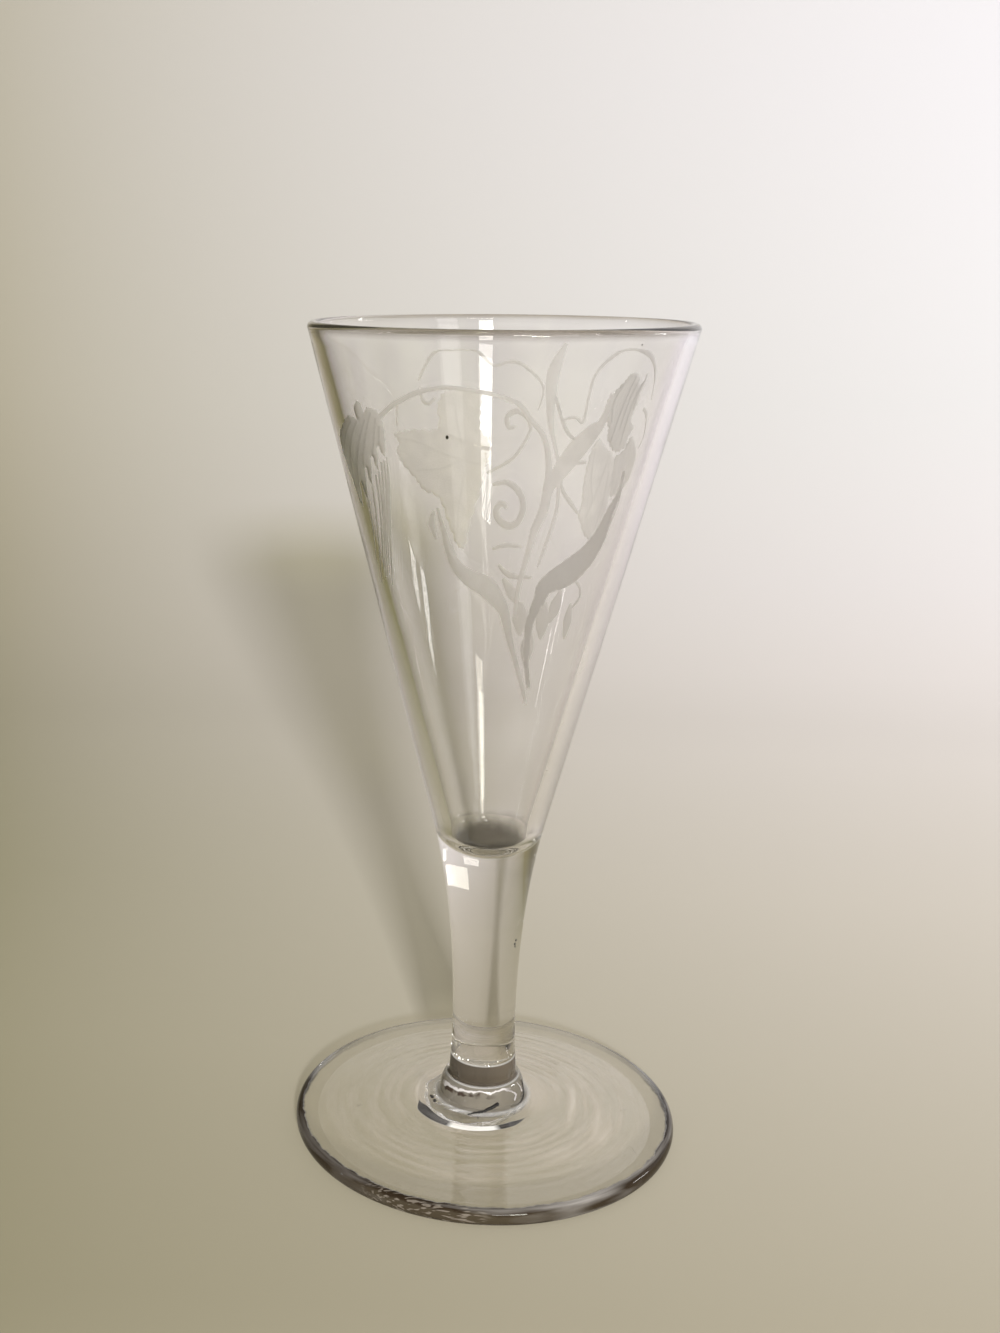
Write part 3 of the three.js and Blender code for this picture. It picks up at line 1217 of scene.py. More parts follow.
@dataclass
class PontilScar:
    """The rough disc of glass left under the foot where the rod was broken off."""

    radius: float = 8.0
    thickness: float = 1.0
    least_thickness: float = 0.12
    hollow: float = 0.45
    offset: float = -1.6
    top: float = 1.9
    roughness: float = 0.16
    ridge: float = 1.6
    ridge_grit: float = 0.4
    tear: Lumps = Lumps(0.34, 0.55, 1.7, 1.3)
    grit: tuple[Lumps, ...] = (Lumps(1.5, 1.5, 5.1, 0.35), Lumps(3.4, 3.4, 9.3, 0.16))
    hair: float = 0.02
    swings: tuple[Swing, ...] = (Swing(3, 0.035, 0.4), Swing(7, 0.022, 1.9), Swing(13, 0.012, 4.1))
    segments: int = 192
    rings: int = 34
    edge_steps: int = 14

    def outline(self, radius: float, height: float) -> list[Point3]:
        """Gives a ring of points on the broken outline, scaled to a radius."""
        found = []
        for step in range(self.segments):
            a = 2 * math.pi * step / self.segments
            r = radius * (1 + sum(w.share * math.sin(w.count * a + w.phase) for w in self.swings))
            found.append((self.offset + r * math.cos(a), r * math.sin(a), height))
        return found

    def broken_height(self, x: float, y: float) -> float:
        """Gives the height of the broken face, which is hollow, ridged and torn."""
        reach = min(1.0, math.hypot(x - self.offset, y) / (self.radius - self.thickness))
        grit = sum(lumps.at(x, y) for lumps in self.grit)
        ridge = abs(self.tear.at(x, y) + self.ridge_grit * grit)
        rough = self.roughness * (ridge * self.ridge + grit) * (1 - reach ** 6)
        rise = self.hollow * (1 - reach ** 2) + rough
        return min(self.top - self.least_thickness, self.top - self.thickness + max(0.0, rise))

    def build(self) -> Object:
        """Makes the scar's object."""
        draft = Draft(self.segments)
        inner = self.radius - self.thickness
        rings = [draft.add_ring([(self.offset, 0.0, self.broken_height(self.offset, 0.0))]) * self.segments]
        for i in range(1, self.rings + 1):
            flat = self.outline(inner * i / self.rings, 0.0)
            rings.append(draft.add_ring([(x, y, self.broken_height(x, y)) for x, y, _ in flat]))
        top = self.top - self.hair
        edge = quarter_arc((inner, top), self.thickness, self.thickness - self.hair, -1, 0, self.edge_steps)
        for r, z in edge[1:]:
            rings.append(draft.add_ring(self.outline(r, z)))
        for low, high in zip(rings, rings[1:]):
            draft.add_band(low, high, Skin.CLEAR)
        draft.add_band(rings[-1], draft.add_ring([(self.offset, 0.0, top)]) * self.segments, Skin.WELD)
        return bpy.data.objects.new("pontil_scar_glass", draft.mesh("pontil_scar_glass"))


@dataclass
class Foot:
    """The disc foot with its boss and neck, hollowed a little underneath."""

    joint: Joint
    scar: PontilScar
    neck_radius: float = 5.5
    neck_base_height: float = 8.9
    neck_steps: int = 16
    boss_radius: float = 6.9
    boss_shoulder_height: float = 7.7
    boss_base_height: float = 5.2
    boss_steps: int = 10
    top_radius: float = 9.0
    top_height: float = 4.5
    top_steps: int = 90
    spread_rise: float = 0.1
    foot_radius: float = 30.3
    edge_height: float = 2.7
    edge_rounding: float = 1.0
    edge_steps: int = 24
    rest_ring_width: float = 2.6
    kick_radius: float = 10.6
    kick_height: float = 1.9
    kick_steps: int = 40
    ripple_pitch: float = 1.9
    ripple_height: float = 0.022
    ripple_bias: float = 0.7
    ripple_mean: float = 0.75
    ripple_right: float = 0.45
    ripple_turn: float = 0.5
    ripple_patches: Lumps = Lumps(0.09, 0.09, 3.0, 0.3)
    ripple_drift: Lumps = Lumps(0.12, 0.12, 0.0, 1.4)
    ripple_swing: float = 0.9
    ripple_swing_rate: float = 0.83
    top_play: float = 0.01
    spread: float = 0.023
    drift: Point2 = (0.3, -0.6)
    drift_start: float = 11.0
    segments: int = 192

    def build(self) -> Object:
        """Makes the foot's object."""
        j = self.joint
        rest_outer = self.foot_radius - self.edge_rounding
        rest_middle, rest_inner = rest_outer - self.rest_ring_width / 2, rest_outer - self.rest_ring_width
        half_edge = self.edge_height / 2
        boss_base = (self.boss_radius, self.boss_base_height)
        top_inner = (self.top_radius, self.top_height)
        pull = ((self.boss_radius + self.top_radius) / 2, self.top_height + self.spread_rise)
        shoulder = (self.boss_radius, self.boss_shoulder_height)
        side = straight((self.kick_radius, self.kick_height), (rest_inner, 0.0), self.kick_steps)
        side += [(rest_middle, 0.0)]
        side += quarter_arc((rest_outer, half_edge), self.edge_rounding, half_edge, -1, 1, self.edge_steps)
        side += straight((rest_outer, self.edge_height), top_inner, self.top_steps)[1:]
        side += bend(top_inner, pull, boss_base, self.boss_steps)[1:]
        side += bend(boss_base, shoulder, (self.neck_radius, self.neck_base_height), self.neck_steps)[1:]
        weld = j.weld_height - j.hair
        side += [(j.weld_radius, weld - 2 * j.groove)]
        draft = Draft(self.segments)
        self._add_flat(draft)
        joint_face = [Station(j.weld_radius - j.groove, weld, Skin.WELD), Station(0.0, weld)]
        draft.add_turned(stations(side) + joint_face)
        draft.points = [self._drifted(self._rippled(p)) for p in draft.points]
        return bpy.data.objects.new("foot_glass", draft.mesh("foot_glass"))

    def _add_flat(self, draft: Draft) -> None:
        """Adds the underside's flat middle, with the joint to the scar as a part of it."""
        middle = draft.add_ring([(self.scar.offset, 0.0, self.kick_height)]) * self.segments
        border = draft.add_ring(self.scar.outline(self.scar.radius, self.kick_height))
        rim = draft.add_circle(self.kick_radius, self.kick_height)
        draft.add_band(middle, border, Skin.WELD)
        draft.add_band(border, rim, Skin.CLEAR)

    def _drifted(self, p: Point3) -> Point3:
        """Moves a point of the disc outwards and off centre, more towards the edge, as the spinning did."""
        x, y, z = p
        share = (math.hypot(x, y) - self.drift_start) / (self.foot_radius - self.drift_start)
        share = min(1.0, max(0.0, share))
        scale = 1.0 + self.spread * share
        return x * scale + self.drift[0] * share, y * scale + self.drift[1] * share, z

    def _rippled(self, p: Point3) -> Point3:
        """Moves a point of the top face with the rings that the tool left, deeper on the right."""
        x, y, z = p
        r = math.hypot(x, y)
        inner, outer = self.top_radius, self.foot_radius - 2 * self.edge_rounding
        if z < self.edge_height - self.top_play or not inner < r < outer:
            return p
        share = math.sin(math.pi * ((r - inner) / (outer - inner)) ** self.ripple_bias)
        right = self.ripple_right * math.cos(math.atan2(y, x) + self.ripple_turn)
        side = self.ripple_mean + right + self.ripple_patches.at(x, y)
        swing = self.ripple_swing * math.sin(r * self.ripple_swing_rate)
        wave = math.sin(2 * math.pi * r / self.ripple_pitch + self.ripple_drift.at(x, y) + swing)
        return x, y, z + self.ripple_height * share * side * wave


# Engraving

@dataclass(frozen=True)
class Stroke:
    """A line or slim leaf cut by the wheel: points of turn and height, with a width at each."""

    points: tuple[Point2, ...]
    widths: tuple[float, ...]
    depth: float = 0.05
    shade: float = 0.38


@dataclass(frozen=True)
class Patch:
    """A broad cut shape: its outline as turn and height, and the veins that are cut deeper into it."""

    outline: tuple[Point2, ...]
    veins: tuple[tuple[Point2, ...], ...] = ()
    tooth: float = 0.0
    hatch: float = 0.0
    hatch_slant: float = 60.0
    vein_shade: float = 1.0
    depth: float = 0.06
    shade: float = 0.0


class Ornament:
    """The traditional hops and barley, as strokes and patches in turn (degrees) and height."""

    front_leaf_left: Stroke = Stroke(
        (
            (19, 75.5), (13, 80.5), (7.5, 85.5), (4, 90), (0.5, 92), (-4.5, 94), (-10, 95), (-15, 96.5),
            (-18, 98.7), (-20, 102), (-21.5, 105),
        ),
        (0.5, 0.7, 0.9, 1.5, 2.3, 3.0, 2.7, 1.9, 1.3, 0.9, 0.4),
        shade=0.22,
    )
    front_leaf_right: Stroke = Stroke(
        (
            (19.5, 78), (16.5, 82), (15.5, 87.5), (19, 92), (21.5, 94), (30, 95.7), (37, 97.7), (42, 100.5),
            (44.5, 104), (47, 107), (46.5, 110),
        ),
        (0.6, 0.8, 1.1, 1.9, 3.0, 4.2, 3.8, 2.9, 1.8, 1.0, 0.4),
        shade=0.62,
    )
    front_leaf_middle: Stroke = Stroke(
        (
            (8.7, 89.3), (9.4, 93.7), (12, 99), (13.6, 102.3), (16, 105), (17, 108), (20.4, 110.6),
            (25, 113.6), (29.4, 115.8), (32, 117), (33.6, 119.6), (33.5, 121),
        ),
        (0.5, 0.6, 0.8, 1.1, 1.4, 1.5, 2.4, 3.0, 2.4, 1.4, 0.8, 0.4),
        shade=0.06,
    )
    front_leaf_top: Stroke = Stroke(
        (
            (17, 127.7), (14.4, 124), (14.6, 119.4), (15.6, 116.5), (17.7, 113.7), (19.5, 111), (20.9, 106),
            (20.1, 103), (18.5, 100), (16.4, 96.8),
        ),
        (0.5, 1.7, 1.2, 0.7, 0.5, 0.5, 0.5, 0.5, 0.5, 0.3),
        shade=0.1,
    )
    front_branch: Stroke = Stroke(
        ((15.7, 120.8), (18.7, 117.6), (21.3, 115.7), (24.3, 114.8)), (0.4, 0.5, 0.5, 0.4),
    )
    barley_stalk: Stroke = Stroke(
        (
            (16, 107.7), (16.3, 110.6), (15, 113.7), (12.6, 116), (9, 117.7), (5.5, 119.7), (0.6, 120.7),
            (-3.7, 121.2), (-14, 121.8), (-19, 121.6), (-24.5, 121), (-30, 119.9), (-35, 118.7),
            (-41, 116.8), (-46.3, 114.9), (-52, 112.4), (-57, 110),
        ),
        (0.9, 0.9, 0.8, 0.7, 0.7, 0.7, 0.6, 0.6, 0.6, 0.6, 0.7, 0.7, 0.7, 0.7, 0.7, 0.6, 0.4),
        shade=0.15,
    )
    barley_ear: Patch = Patch(
        (
            (-44.9, 118.4), (-40.5, 118.0), (-38.9, 116.5), (-39.2, 114), (-40.7, 111.6), (-43.2, 113.2),
            (-45, 109.4), (-47.4, 111.6), (-50.4, 107), (-52.4, 109.8), (-55.3, 104.9), (-58.5, 107.4),
            (-61.5, 103.5), (-65, 106.2), (-69.5, 111.2), (-68.2, 113.4), (-62, 115.4), (-56, 116.8),
            (-50, 116.6),
        ),
        veins=(
            ((-44, 117.6), (-49, 114), (-53, 110.5), (-55.4, 106.2)),
            ((-42, 117), (-45, 113.5), (-48, 110.5), (-50.2, 107.8)),
            ((-41, 115.8), (-42.8, 113), (-44.7, 110.2)),
            ((-47.5, 116.5), (-54, 112.7), (-59, 109), (-61.4, 104.6)),
            ((-52, 116.2), (-58, 113.6), (-63, 110.4), (-65, 107.2)),
            ((-56, 116), (-62, 114), (-67, 111.6)),
        ),
        tooth=0.25,
        vein_shade=0.6,
        depth=0.07,
    )
    barley_knob: Stroke = Stroke(
        ((-48.6, 119.0), (-49.4, 117.7), (-50.2, 116.4)), (0.9, 2.2, 0.9), depth=0.06, shade=0.05,
    )
    barley_awns: tuple[tuple[Point2, ...], ...] = (
        ((-39.8, 111.6), (-40.7, 108.3), (-43.1, 103.9), (-45.9, 99.3), (-48.5, 95.4), (-50.9, 92.3)),
        ((-41.2, 111.2), (-42.2, 107.9), (-44.8, 103.0), (-47.9, 98.5), (-51, 94.4)),
        ((-42.8, 110.8), (-43.9, 107.5), (-46.6, 102.2), (-49.9, 97.6), (-53.3, 93.4)),
        ((-45.0, 109.4), (-45.9, 106), (-48.2, 101.6), (-51.3, 97.4), (-54.8, 93.2)),
        ((-46.9, 108.8), (-47.9, 105.1), (-49.9, 101.3), (-52.9, 97.2), (-57, 92.7)),
        ((-50.4, 107), (-51.6, 103.4), (-53.8, 99.6), (-57.5, 95), (-60.2, 92)),
        ((-55.3, 104.9), (-56.2, 102), (-57.8, 99), (-60.5, 95.4)),
    )
    awn_widths: tuple[float, ...] = (0.2, 0.5, 0.5, 0.45, 0.35, 0.15)
    awn_depth: float = 0.012
    # Painted shade: the thin right part of the right front leaf is darker, where the wall is seen edge on.
    dark_leaf_edge: tuple[Point2, ...] = (
        (46.4, 109.6), (46.4, 107), (45.2, 104), (42.8, 101.2), (38.6, 99.2), (33, 97.8), (27, 96.8),
    )
    small_leaf: Stroke = Stroke(((-22.8, 104.6), (-24.6, 102.6), (-23.1, 100.6)), (0.4, 1.1, 0.4))
    hop_leaf: Patch = Patch(
        (
            (229.0, 110.8), (223.4, 111.0), (214.8, 111.1), (206.1, 111.2), (205.4, 114.6), (202.4, 116.8),
            (197.5, 117.2), (187.8, 117.0), (187.5, 114.1), (187.9, 111.0), (184.3, 109.1), (184.1, 106.2),
            (186.4, 104.6), (187.9, 101.4), (192.9, 96.8), (196.8, 92.5), (201.3, 93.0), (205.0, 96.5),
            (208.9, 100.3), (216.4, 101.6), (220.7, 103.7), (226.8, 106.2), (228.6, 108.2), (226.6, 109.2),
        ),
        veins=(
            ((226.5, 109.9), (216.7, 109.2), (204.0, 107.1), (189.3, 105.4)),
            ((198.4, 116.0), (197.1, 111.0), (194.7, 106.3)),
            ((219.5, 105.0), (206.7, 104.8), (199.0, 105.8)),
            ((200.5, 94.4), (198.6, 99.0), (195.0, 104.0)),
        ),
        tooth=0.4,
        vein_shade=0.3,
    )
    hop_cone: Patch = Patch(
        (
            (131.1, 110.6), (131.7, 112.1), (134.2, 113.5), (135.3, 115.8), (132.6, 117.5), (128.9, 119.1),
            (126.8, 120.2), (124.0, 120.6), (120.4, 120.3), (118.2, 118.7), (115.6, 120.9), (115.2, 119.4),
            (116.6, 117.8), (116.3, 116.5), (117.8, 114.9), (118.0, 113.4), (114.5, 112.8), (116.7, 111.2),
            (116.9, 109.6), (122.4, 108.6), (127.0, 109.0),
        ),
        veins=(
            ((122.4, 120.1), (125.1, 116.9), (127.1, 113.0), (128.1, 110.2)),
            ((117.2, 119.3), (120.0, 116.4), (121.2, 112.8), (121.5, 109.8)),
            ((128.5, 118.7), (131.5, 116.0), (130.3, 112.9)),
            ((115.6, 120.3), (118.0, 117.8), (118.9, 115.3)),
            ((119.8, 119.8), (123.0, 116.2), (124.4, 112.0)),
        ),
        tooth=0.4,
        hatch=0.8,
        depth=0.07,
        shade=0.44,
    )
    leaf_back: Patch = Patch(
        (
            (137.9, 108.8), (138.9, 105.6), (138.4, 102.5), (137.2, 100.0), (138.2, 98.4), (135.6, 97.2),
            (130.4, 95.4), (122.6, 94.9), (118.1, 97.5), (118.5, 101.1), (120.3, 104.9), (123.8, 107.8),
            (130.2, 109.0), (135.1, 110.2),
        ),
        veins=(
            ((133.0, 98.0), (129.0, 103.0), (127.0, 108.0)),
            ((124.0, 97.0), (123.0, 101.0), (124.5, 105.5)),
            ((131.0, 101.0), (135.0, 104.5), (135.8, 108.6)),
        ),
        tooth=0.3,
        vein_shade=0.4,
    )
    petal_back: Patch = Patch(
        (
            (123.0, 107.9), (117.2, 109.3), (114.7, 111.3), (107.9, 110.1), (103.7, 108.5), (103.6, 105.8),
            (108.4, 103.5), (113.2, 102.5), (118.6, 102.1), (121.4, 104.6),
        ),
        veins=(((121.0, 105.6), (113.0, 106.4), (106.0, 107.0)),),
        tooth=0.3,
        vein_shade=0.4,
        shade=0.38,
    )
    back_tendrils: tuple[Stroke, ...] = (
        Stroke(
            (
                (212.5, 118.6), (208, 121.5), (204, 123.2), (198, 123.6), (190, 123.5), (183, 121),
                (176, 121.6), (170.5, 120.6), (164.6, 118.3), (163.5, 116.6), (165, 114),
            ),
            (0.4, 0.6, 0.6, 0.6, 0.6, 0.5, 0.6, 0.6, 0.5, 0.4, 0.3),
        ),
        Stroke(
            (
                (154, 112.7), (149, 113.2), (144.9, 112.6), (144.3, 116.3), (143.1, 120), (137.4, 122.7),
                (130.8, 124.2), (123.5, 124.1), (115.3, 123), (109.4, 120.7), (106.0, 117.0),
            ),
            (0.3, 0.5, 0.6, 0.6, 0.6, 0.7, 0.8, 0.9, 0.9, 0.7, 0.4),
        ),
        Stroke(((111.2, 115.6), (105.8, 114.7), (101.8, 112), (103.8, 109.8)), (0.6, 0.8, 0.6, 0.4)),
        Stroke(((120.4, 94.8), (111.5, 97.6), (108.1, 101), (108.7, 103)), (0.5, 0.6, 0.5, 0.4)),
        Stroke(((150.9, 104.2), (149.5, 102), (143.6, 100), (138.5, 98.6)), (0.4, 0.7, 0.8, 0.5)),
        Stroke(((150.9, 105), (147.5, 106), (144.7, 106.3), (139.5, 106.5)), (0.4, 0.8, 0.8, 0.5)),
        Stroke(((212.2, 117.6), (211.6, 115.6), (208.9, 115.1), (206.2, 115.9)), (0.4, 0.6, 0.6, 0.4)),
        Stroke(((223.7, 115.6), (225.2, 113.4), (226.0, 111.8)), (0.3, 0.45, 0.3)),
        Stroke(
            (
                (182.7, 102.2), (176.3, 102.6), (170.6, 101.3), (167.7, 99), (169.6, 96.6), (174.5, 95.8),
                (179.5, 96.8), (180.6, 98.3), (178.2, 99.3), (175.6, 98.6),
            ),
            (0.5, 0.9, 1.1, 1.1, 1.1, 1.2, 1.2, 1.1, 1.0, 0.7),
        ),
        Stroke(((182.2, 92.1), (175, 92.8), (166.6, 92.6)), (0.5, 0.8, 0.5)),
        Stroke(((178.8, 89.7), (172.1, 88.1), (159.6, 88)), (0.6, 1.0, 0.5)),
        Stroke(
            ((167.3, 111.0), (169, 112.8), (173.4, 113.8), (177, 112.9), (176.4, 111.3), (173.4, 111.4)),
            (0.5, 0.8, 0.9, 0.9, 0.8, 0.5),
        ),
        Stroke(
            ((167.2, 111.1), (169.3, 109.1), (173.3, 106.7), (178.4, 105.3), (185.4, 104)),
            (0.5, 0.6, 0.6, 0.6, 0.4),
        ),
        Stroke(
            ((129.7, 88.4), (124.0, 87.6), (121.6, 86.4), (124.7, 85.1), (129, 84)),
            (0.4, 0.6, 0.6, 0.6, 0.4),
        ),
    )
    buds: tuple[Stroke, ...] = (
        Stroke(((164.5, 84.0), (163.9, 81.3), (163.2, 78.8)), (0.8, 2.9, 0.6)),
        Stroke(((148.8, 84.4), (148.5, 81.3), (148.1, 78.6)), (0.8, 2.8, 0.6)),
        Stroke(((139.2, 86.6), (141.1, 83.9), (143.2, 81.4)), (0.7, 2.5, 0.6)),
        Stroke(((129.2, 85.0), (128.1, 82.3), (127.2, 79.4)), (0.6, 2.3, 0.5)),
        Stroke(((155.8, 79.8), (156.9, 77), (156.7, 74.2)), (0.8, 2.7, 0.6)),
        Stroke(((176.0, 87.6), (170.5, 85.4), (166.0, 83.8)), (0.6, 1.9, 0.6)),
    )

    def strokes(self) -> list[Stroke]:
        """Gives every stroke, the barley's awns among them."""
        leaves = [self.front_leaf_left, self.front_leaf_right, self.front_leaf_middle, self.front_leaf_top]
        stalks = [self.front_branch, self.barley_stalk, self.small_leaf, self.barley_knob]
        awns = [
            Stroke(points, self.awn_widths[-len(points):], depth=self.awn_depth, shade=0.0)
            for points in self.barley_awns
        ]
        return [*leaves, *stalks, *self.back_tendrils, *self.buds, *awns]

    def patches(self) -> list[Patch]:
        """Gives every patch."""
        return [self.barley_ear, self.hop_leaf, self.hop_cone, self.leaf_back, self.petal_back]


def curve_value(t: float, a: float, b: float, c: float, d: float) -> float:
    """Gives the value of a Catmull-Rom curve at a share t of the way from b to c."""
    bow = 2 * a - 5 * b + 4 * c - d
    twist = 3 * b - a - 3 * c + d
    return 0.5 * (2 * b + (c - a) * t + bow * t * t + twist * t ** 3)


def smooth_line(points: tuple[Point2, ...], steps: int) -> list[Point2]:
    """Gives a smooth curve through points.

    Args:
        points: The points that it passes.
        steps: How many parts lie between two of them.

    Returns:
        Points on a Catmull-Rom curve, both ends included.
    """
    padded = [points[0], *points, points[-1]]
    found = []
    for four in zip(padded, padded[1:], padded[2:], padded[3:]):
        for i in range(steps):
            found.append(tuple(curve_value(i / steps, *values) for values in zip(*four)))
    return [*found, points[-1]]


@dataclass
class CutShape:
    """One closed outline on the unrolled wall, with its cut depth."""

    outline: np.ndarray
    depth: float
    ramp: float
    middle: np.ndarray = field(default_factory=lambda: np.zeros((0, 2)))
    shade: float = 0.0

    def profile(self, spots: np.ndarray) -> tuple[np.ndarray, np.ndarray]:
        """Finds how deep the cut is at some spots.

        Args:
            spots: Points on the unrolled wall.

        Returns:
            The depth at each, and its distance from the outline.
        """
        inside, near = polygon_measure(self.outline, spots)
        share = np.clip(near / self.ramp, 0.0, 1.0)
        return np.where(inside, self.depth * share * (2.0 - share), 0.0), near


def polygon_measure(outline: np.ndarray, spots: np.ndarray) -> tuple[np.ndarray, np.ndarray]:
    """Tests spots against a closed outline.

    Args:
        outline: Its corners.
        spots: The points to test.

    Returns:
        Whether each is inside, and its distance from the outline.
    """
    a, b = outline, np.roll(outline, -1, axis=0)
    x, y = spots[:, :1], spots[:, 1:]
    crosses = (a[:, 1] > y) != (b[:, 1] > y)
    rise = np.where(b[:, 1] == a[:, 1], TINY, b[:, 1] - a[:, 1])
    inside = (crosses & (x < (b[:, 0] - a[:, 0]) * (y - a[:, 1]) / rise + a[:, 0])).sum(axis=1) % 2 == 1
    return inside, line_distance(a, b, spots)


def line_distance(a: np.ndarray, b: np.ndarray, spots: np.ndarray) -> np.ndarray:
    """Gives each spot's distance from the nearest of the lines from a to b."""
    d = b - a
    rel = spots[:, None, :] - a[None, :, :]
    t = np.clip((rel * d).sum(axis=2) / np.maximum((d * d).sum(axis=1), TINY), 0.0, 1.0)
    return np.sqrt(((rel - t[..., None] * d) ** 2).sum(axis=2)).min(axis=1)


@dataclass
class Vein:
    """A line cut deeper into a shape, and how dark it is."""

    line: np.ndarray
    shade: float

    def near(self, spots: np.ndarray, width: float) -> tuple[np.ndarray, np.ndarray]:
        """Tells which spots lie within a distance of the line, and how near it they are, from 0 to 1."""
        low, high = self.line.min(axis=0) - width, self.line.max(axis=0) + width
        close = np.nonzero(((spots > low) & (spots < high)).all(axis=1))[0]
        if not len(close):
            return close, np.zeros(0)
        away = line_distance(self.line[:-1], self.line[1:], spots[close])
        return close, np.clip(1.0 - away / width, 0.0, 1.0)


@dataclass
class EngravedWall:
    """The bowl's outer wall between two heights, unrolled, cut with the ornament and rolled up again."""

    bowl: Bowl
    low: float = 62.0
    high: float = 128.0
    rows: int = 44
    seam_step: int = -101
    spacing: float = 0.2
    unrolled_radius: float = 22.5
    vein_depth: float = 0.04
    vein_width: float = 0.32
    # Darkness of the painted shade along the right front leaf's edge.
    leaf_edge_shade: float = 0.5
    stroke_steps: int = 7
    stroke_ramp: float = 0.3
    least_ramp: float = 0.15
    curve_steps: int = 6
    patch_ramp: float = 0.45
    teeth: tuple[float, ...] = (0.5, -0.35, 0.0)
    hatch_shade: float = 0.45
    hatch_spots: int = 60
    hatch_margin: float = 0.3
    search_margin: float = 1.0
    far_off: float = 9.0
    grid_margin: float = 0.3
    fill_margin: float = 0.17
    fill_start: float = 0.1
    fill_row: float = 0.866
    seam_play: float = 1e-6
    merge: float = 1e-5
    shapes: list[CutShape] = field(default_factory=list)
    veins: list[Vein] = field(default_factory=list)

    @property
    def seam_turn(self) -> float:
        """Turn of the line where the wall is unrolled."""
        return 90.0 + self.seam_step * 360.0 / self.bowl.segments

    @property
    def breadth(self) -> float:
        """Width of the unrolled wall."""
        return 2 * math.pi * self.unrolled_radius

    def flat(self, point: Point2) -> Point2:
        """Gives a point's place on the unrolled wall."""
        return math.radians((point[0] - self.seam_turn) % 360.0) * self.unrolled_radius, point[1]

    def stretch(self, height: float) -> float:
        """Tells how much wider the unrolled wall is than the real one at a height."""
        return self.unrolled_radius / self.bowl.outer_radius(height)

    def collect(self, ornament: Ornament) -> None:
        """Turns the ornament into outlines and veins on the unrolled wall."""
        for stroke in ornament.strokes():
            self.shapes.append(self._stroke_shape(stroke))
        for patch in ornament.patches():
            outline = self._patch_outline(patch)
            self.shapes.append(CutShape(outline, patch.depth, self.patch_ramp, shade=patch.shade))
            for vein in patch.veins:
                self._add_vein(vein, patch.vein_shade)
            if patch.hatch:
                self.veins += [Vein(line, self.hatch_shade) for line in self._hatching(outline, patch)]
        # Painted shade along the edge of the right front leaf.
        self._add_vein(ornament.dark_leaf_edge, self.leaf_edge_shade)

    def _add_vein(self, points: tuple[Point2, ...], shade: float) -> None:
        """Adds a vein through points."""
        line = [self.flat(p) for p in smooth_line(points, self.curve_steps)]
        self.veins.append(Vein(np.array(line), shade))

    def _stroke_shape(self, stroke: Stroke) -> CutShape:
        """Gives a stroke its outline."""
        line = smooth_line(tuple(self.flat(p) for p in stroke.points), self.stroke_steps)
        widths = [w for (w, _) in smooth_line(tuple((w, 0.0) for w in stroke.widths), self.stroke_steps)]
        left, right = [], []
        for i, (p, w) in enumerate(zip(line, widths)):
            before, after = line[max(i - 1, 0)], line[min(i + 1, len(line) - 1)]
            wide = self.stretch(p[1])
            run = ((after[0] - before[0]) / wide, after[1] - before[1])
            length = math.hypot(*run) or 1.0
            across = (-run[1] / length * w / 2 * wide, run[0] / length * w / 2)
            left.append((p[0] + across[0], p[1] + across[1]))
            right.append((p[0] - across[0], p[1] - across[1]))
        ramp = max(self.least_ramp, self.stroke_ramp * max(stroke.widths))
        outline, middle = np.array(right + left[::-1]), np.array(line[2:-2])
        return CutShape(outline, stroke.depth, ramp, middle, stroke.shade)

    def _patch_outline(self, patch: Patch) -> np.ndarray:
        """Gives a patch its outline, with teeth where it has them."""
        closed = patch.outline + (patch.outline[0],)
        line = [self.flat(p) for p in smooth_line(closed, self.curve_steps)][:-1]
        if not patch.tooth:
            return np.array(line)
        found = []
        for i, p in enumerate(line):
            before, after = line[i - 1], line[(i + 1) % len(line)]
            run = (after[0] - before[0], after[1] - before[1])
            length = math.hypot(*run) or 1.0
            reach = patch.tooth * self.teeth[i % len(self.teeth)]
            found.append((p[0] - run[1] / length * reach, p[1] + run[0] / length * reach))
        return np.array(found)

    def _hatching(self, outline: np.ndarray, patch: Patch) -> list[np.ndarray]:
        """Fills an outline with slanting lines."""
        slant = math.radians(patch.hatch_slant)
        run = np.array((math.cos(slant), math.sin(slant)))
        step = np.array((-math.sin(slant), math.cos(slant)))
        middle, reach = outline.mean(axis=0), np.ptp(outline, axis=0).max()
        found = []
        for i in range(int(-reach / patch.hatch), int(reach / patch.hatch) + 1):
            along = np.linspace(-reach, reach, self.hatch_spots)[:, None]
            spots = middle + step * i * patch.hatch + run * along
            inside, near = polygon_measure(outline, spots)
            kept = spots[inside & (near > self.hatch_margin)]
            if len(kept) > 2:
                found.append(kept)
        return found

    def depth_at(self, spots: np.ndarray) -> tuple[np.ndarray, np.ndarray]:
        """Finds how deep the wall is cut.

        Args:
            spots: Points on the unrolled wall.

        Returns:
            The depth at each spot, and its distance from the nearest outline.
        """
        depth, near = np.zeros(len(spots)), np.full(len(spots), self.far_off)
        for shape in self.shapes:
            low = shape.outline.min(axis=0) - self.search_margin
            high = shape.outline.max(axis=0) + self.search_margin
            close = np.nonzero(((spots > low) & (spots < high)).all(axis=1))[0]
            if len(close):
                cut, far = shape.profile(spots[close])
                depth[close] = np.maximum(depth[close], cut)
                near[close] = np.minimum(near[close], far)
        for vein in self.veins:
            close, share = vein.near(spots, self.vein_width)
            depth[close] += np.where(depth[close] > 0, self.vein_depth * vein.shade * share, 0.0)
        return depth, near

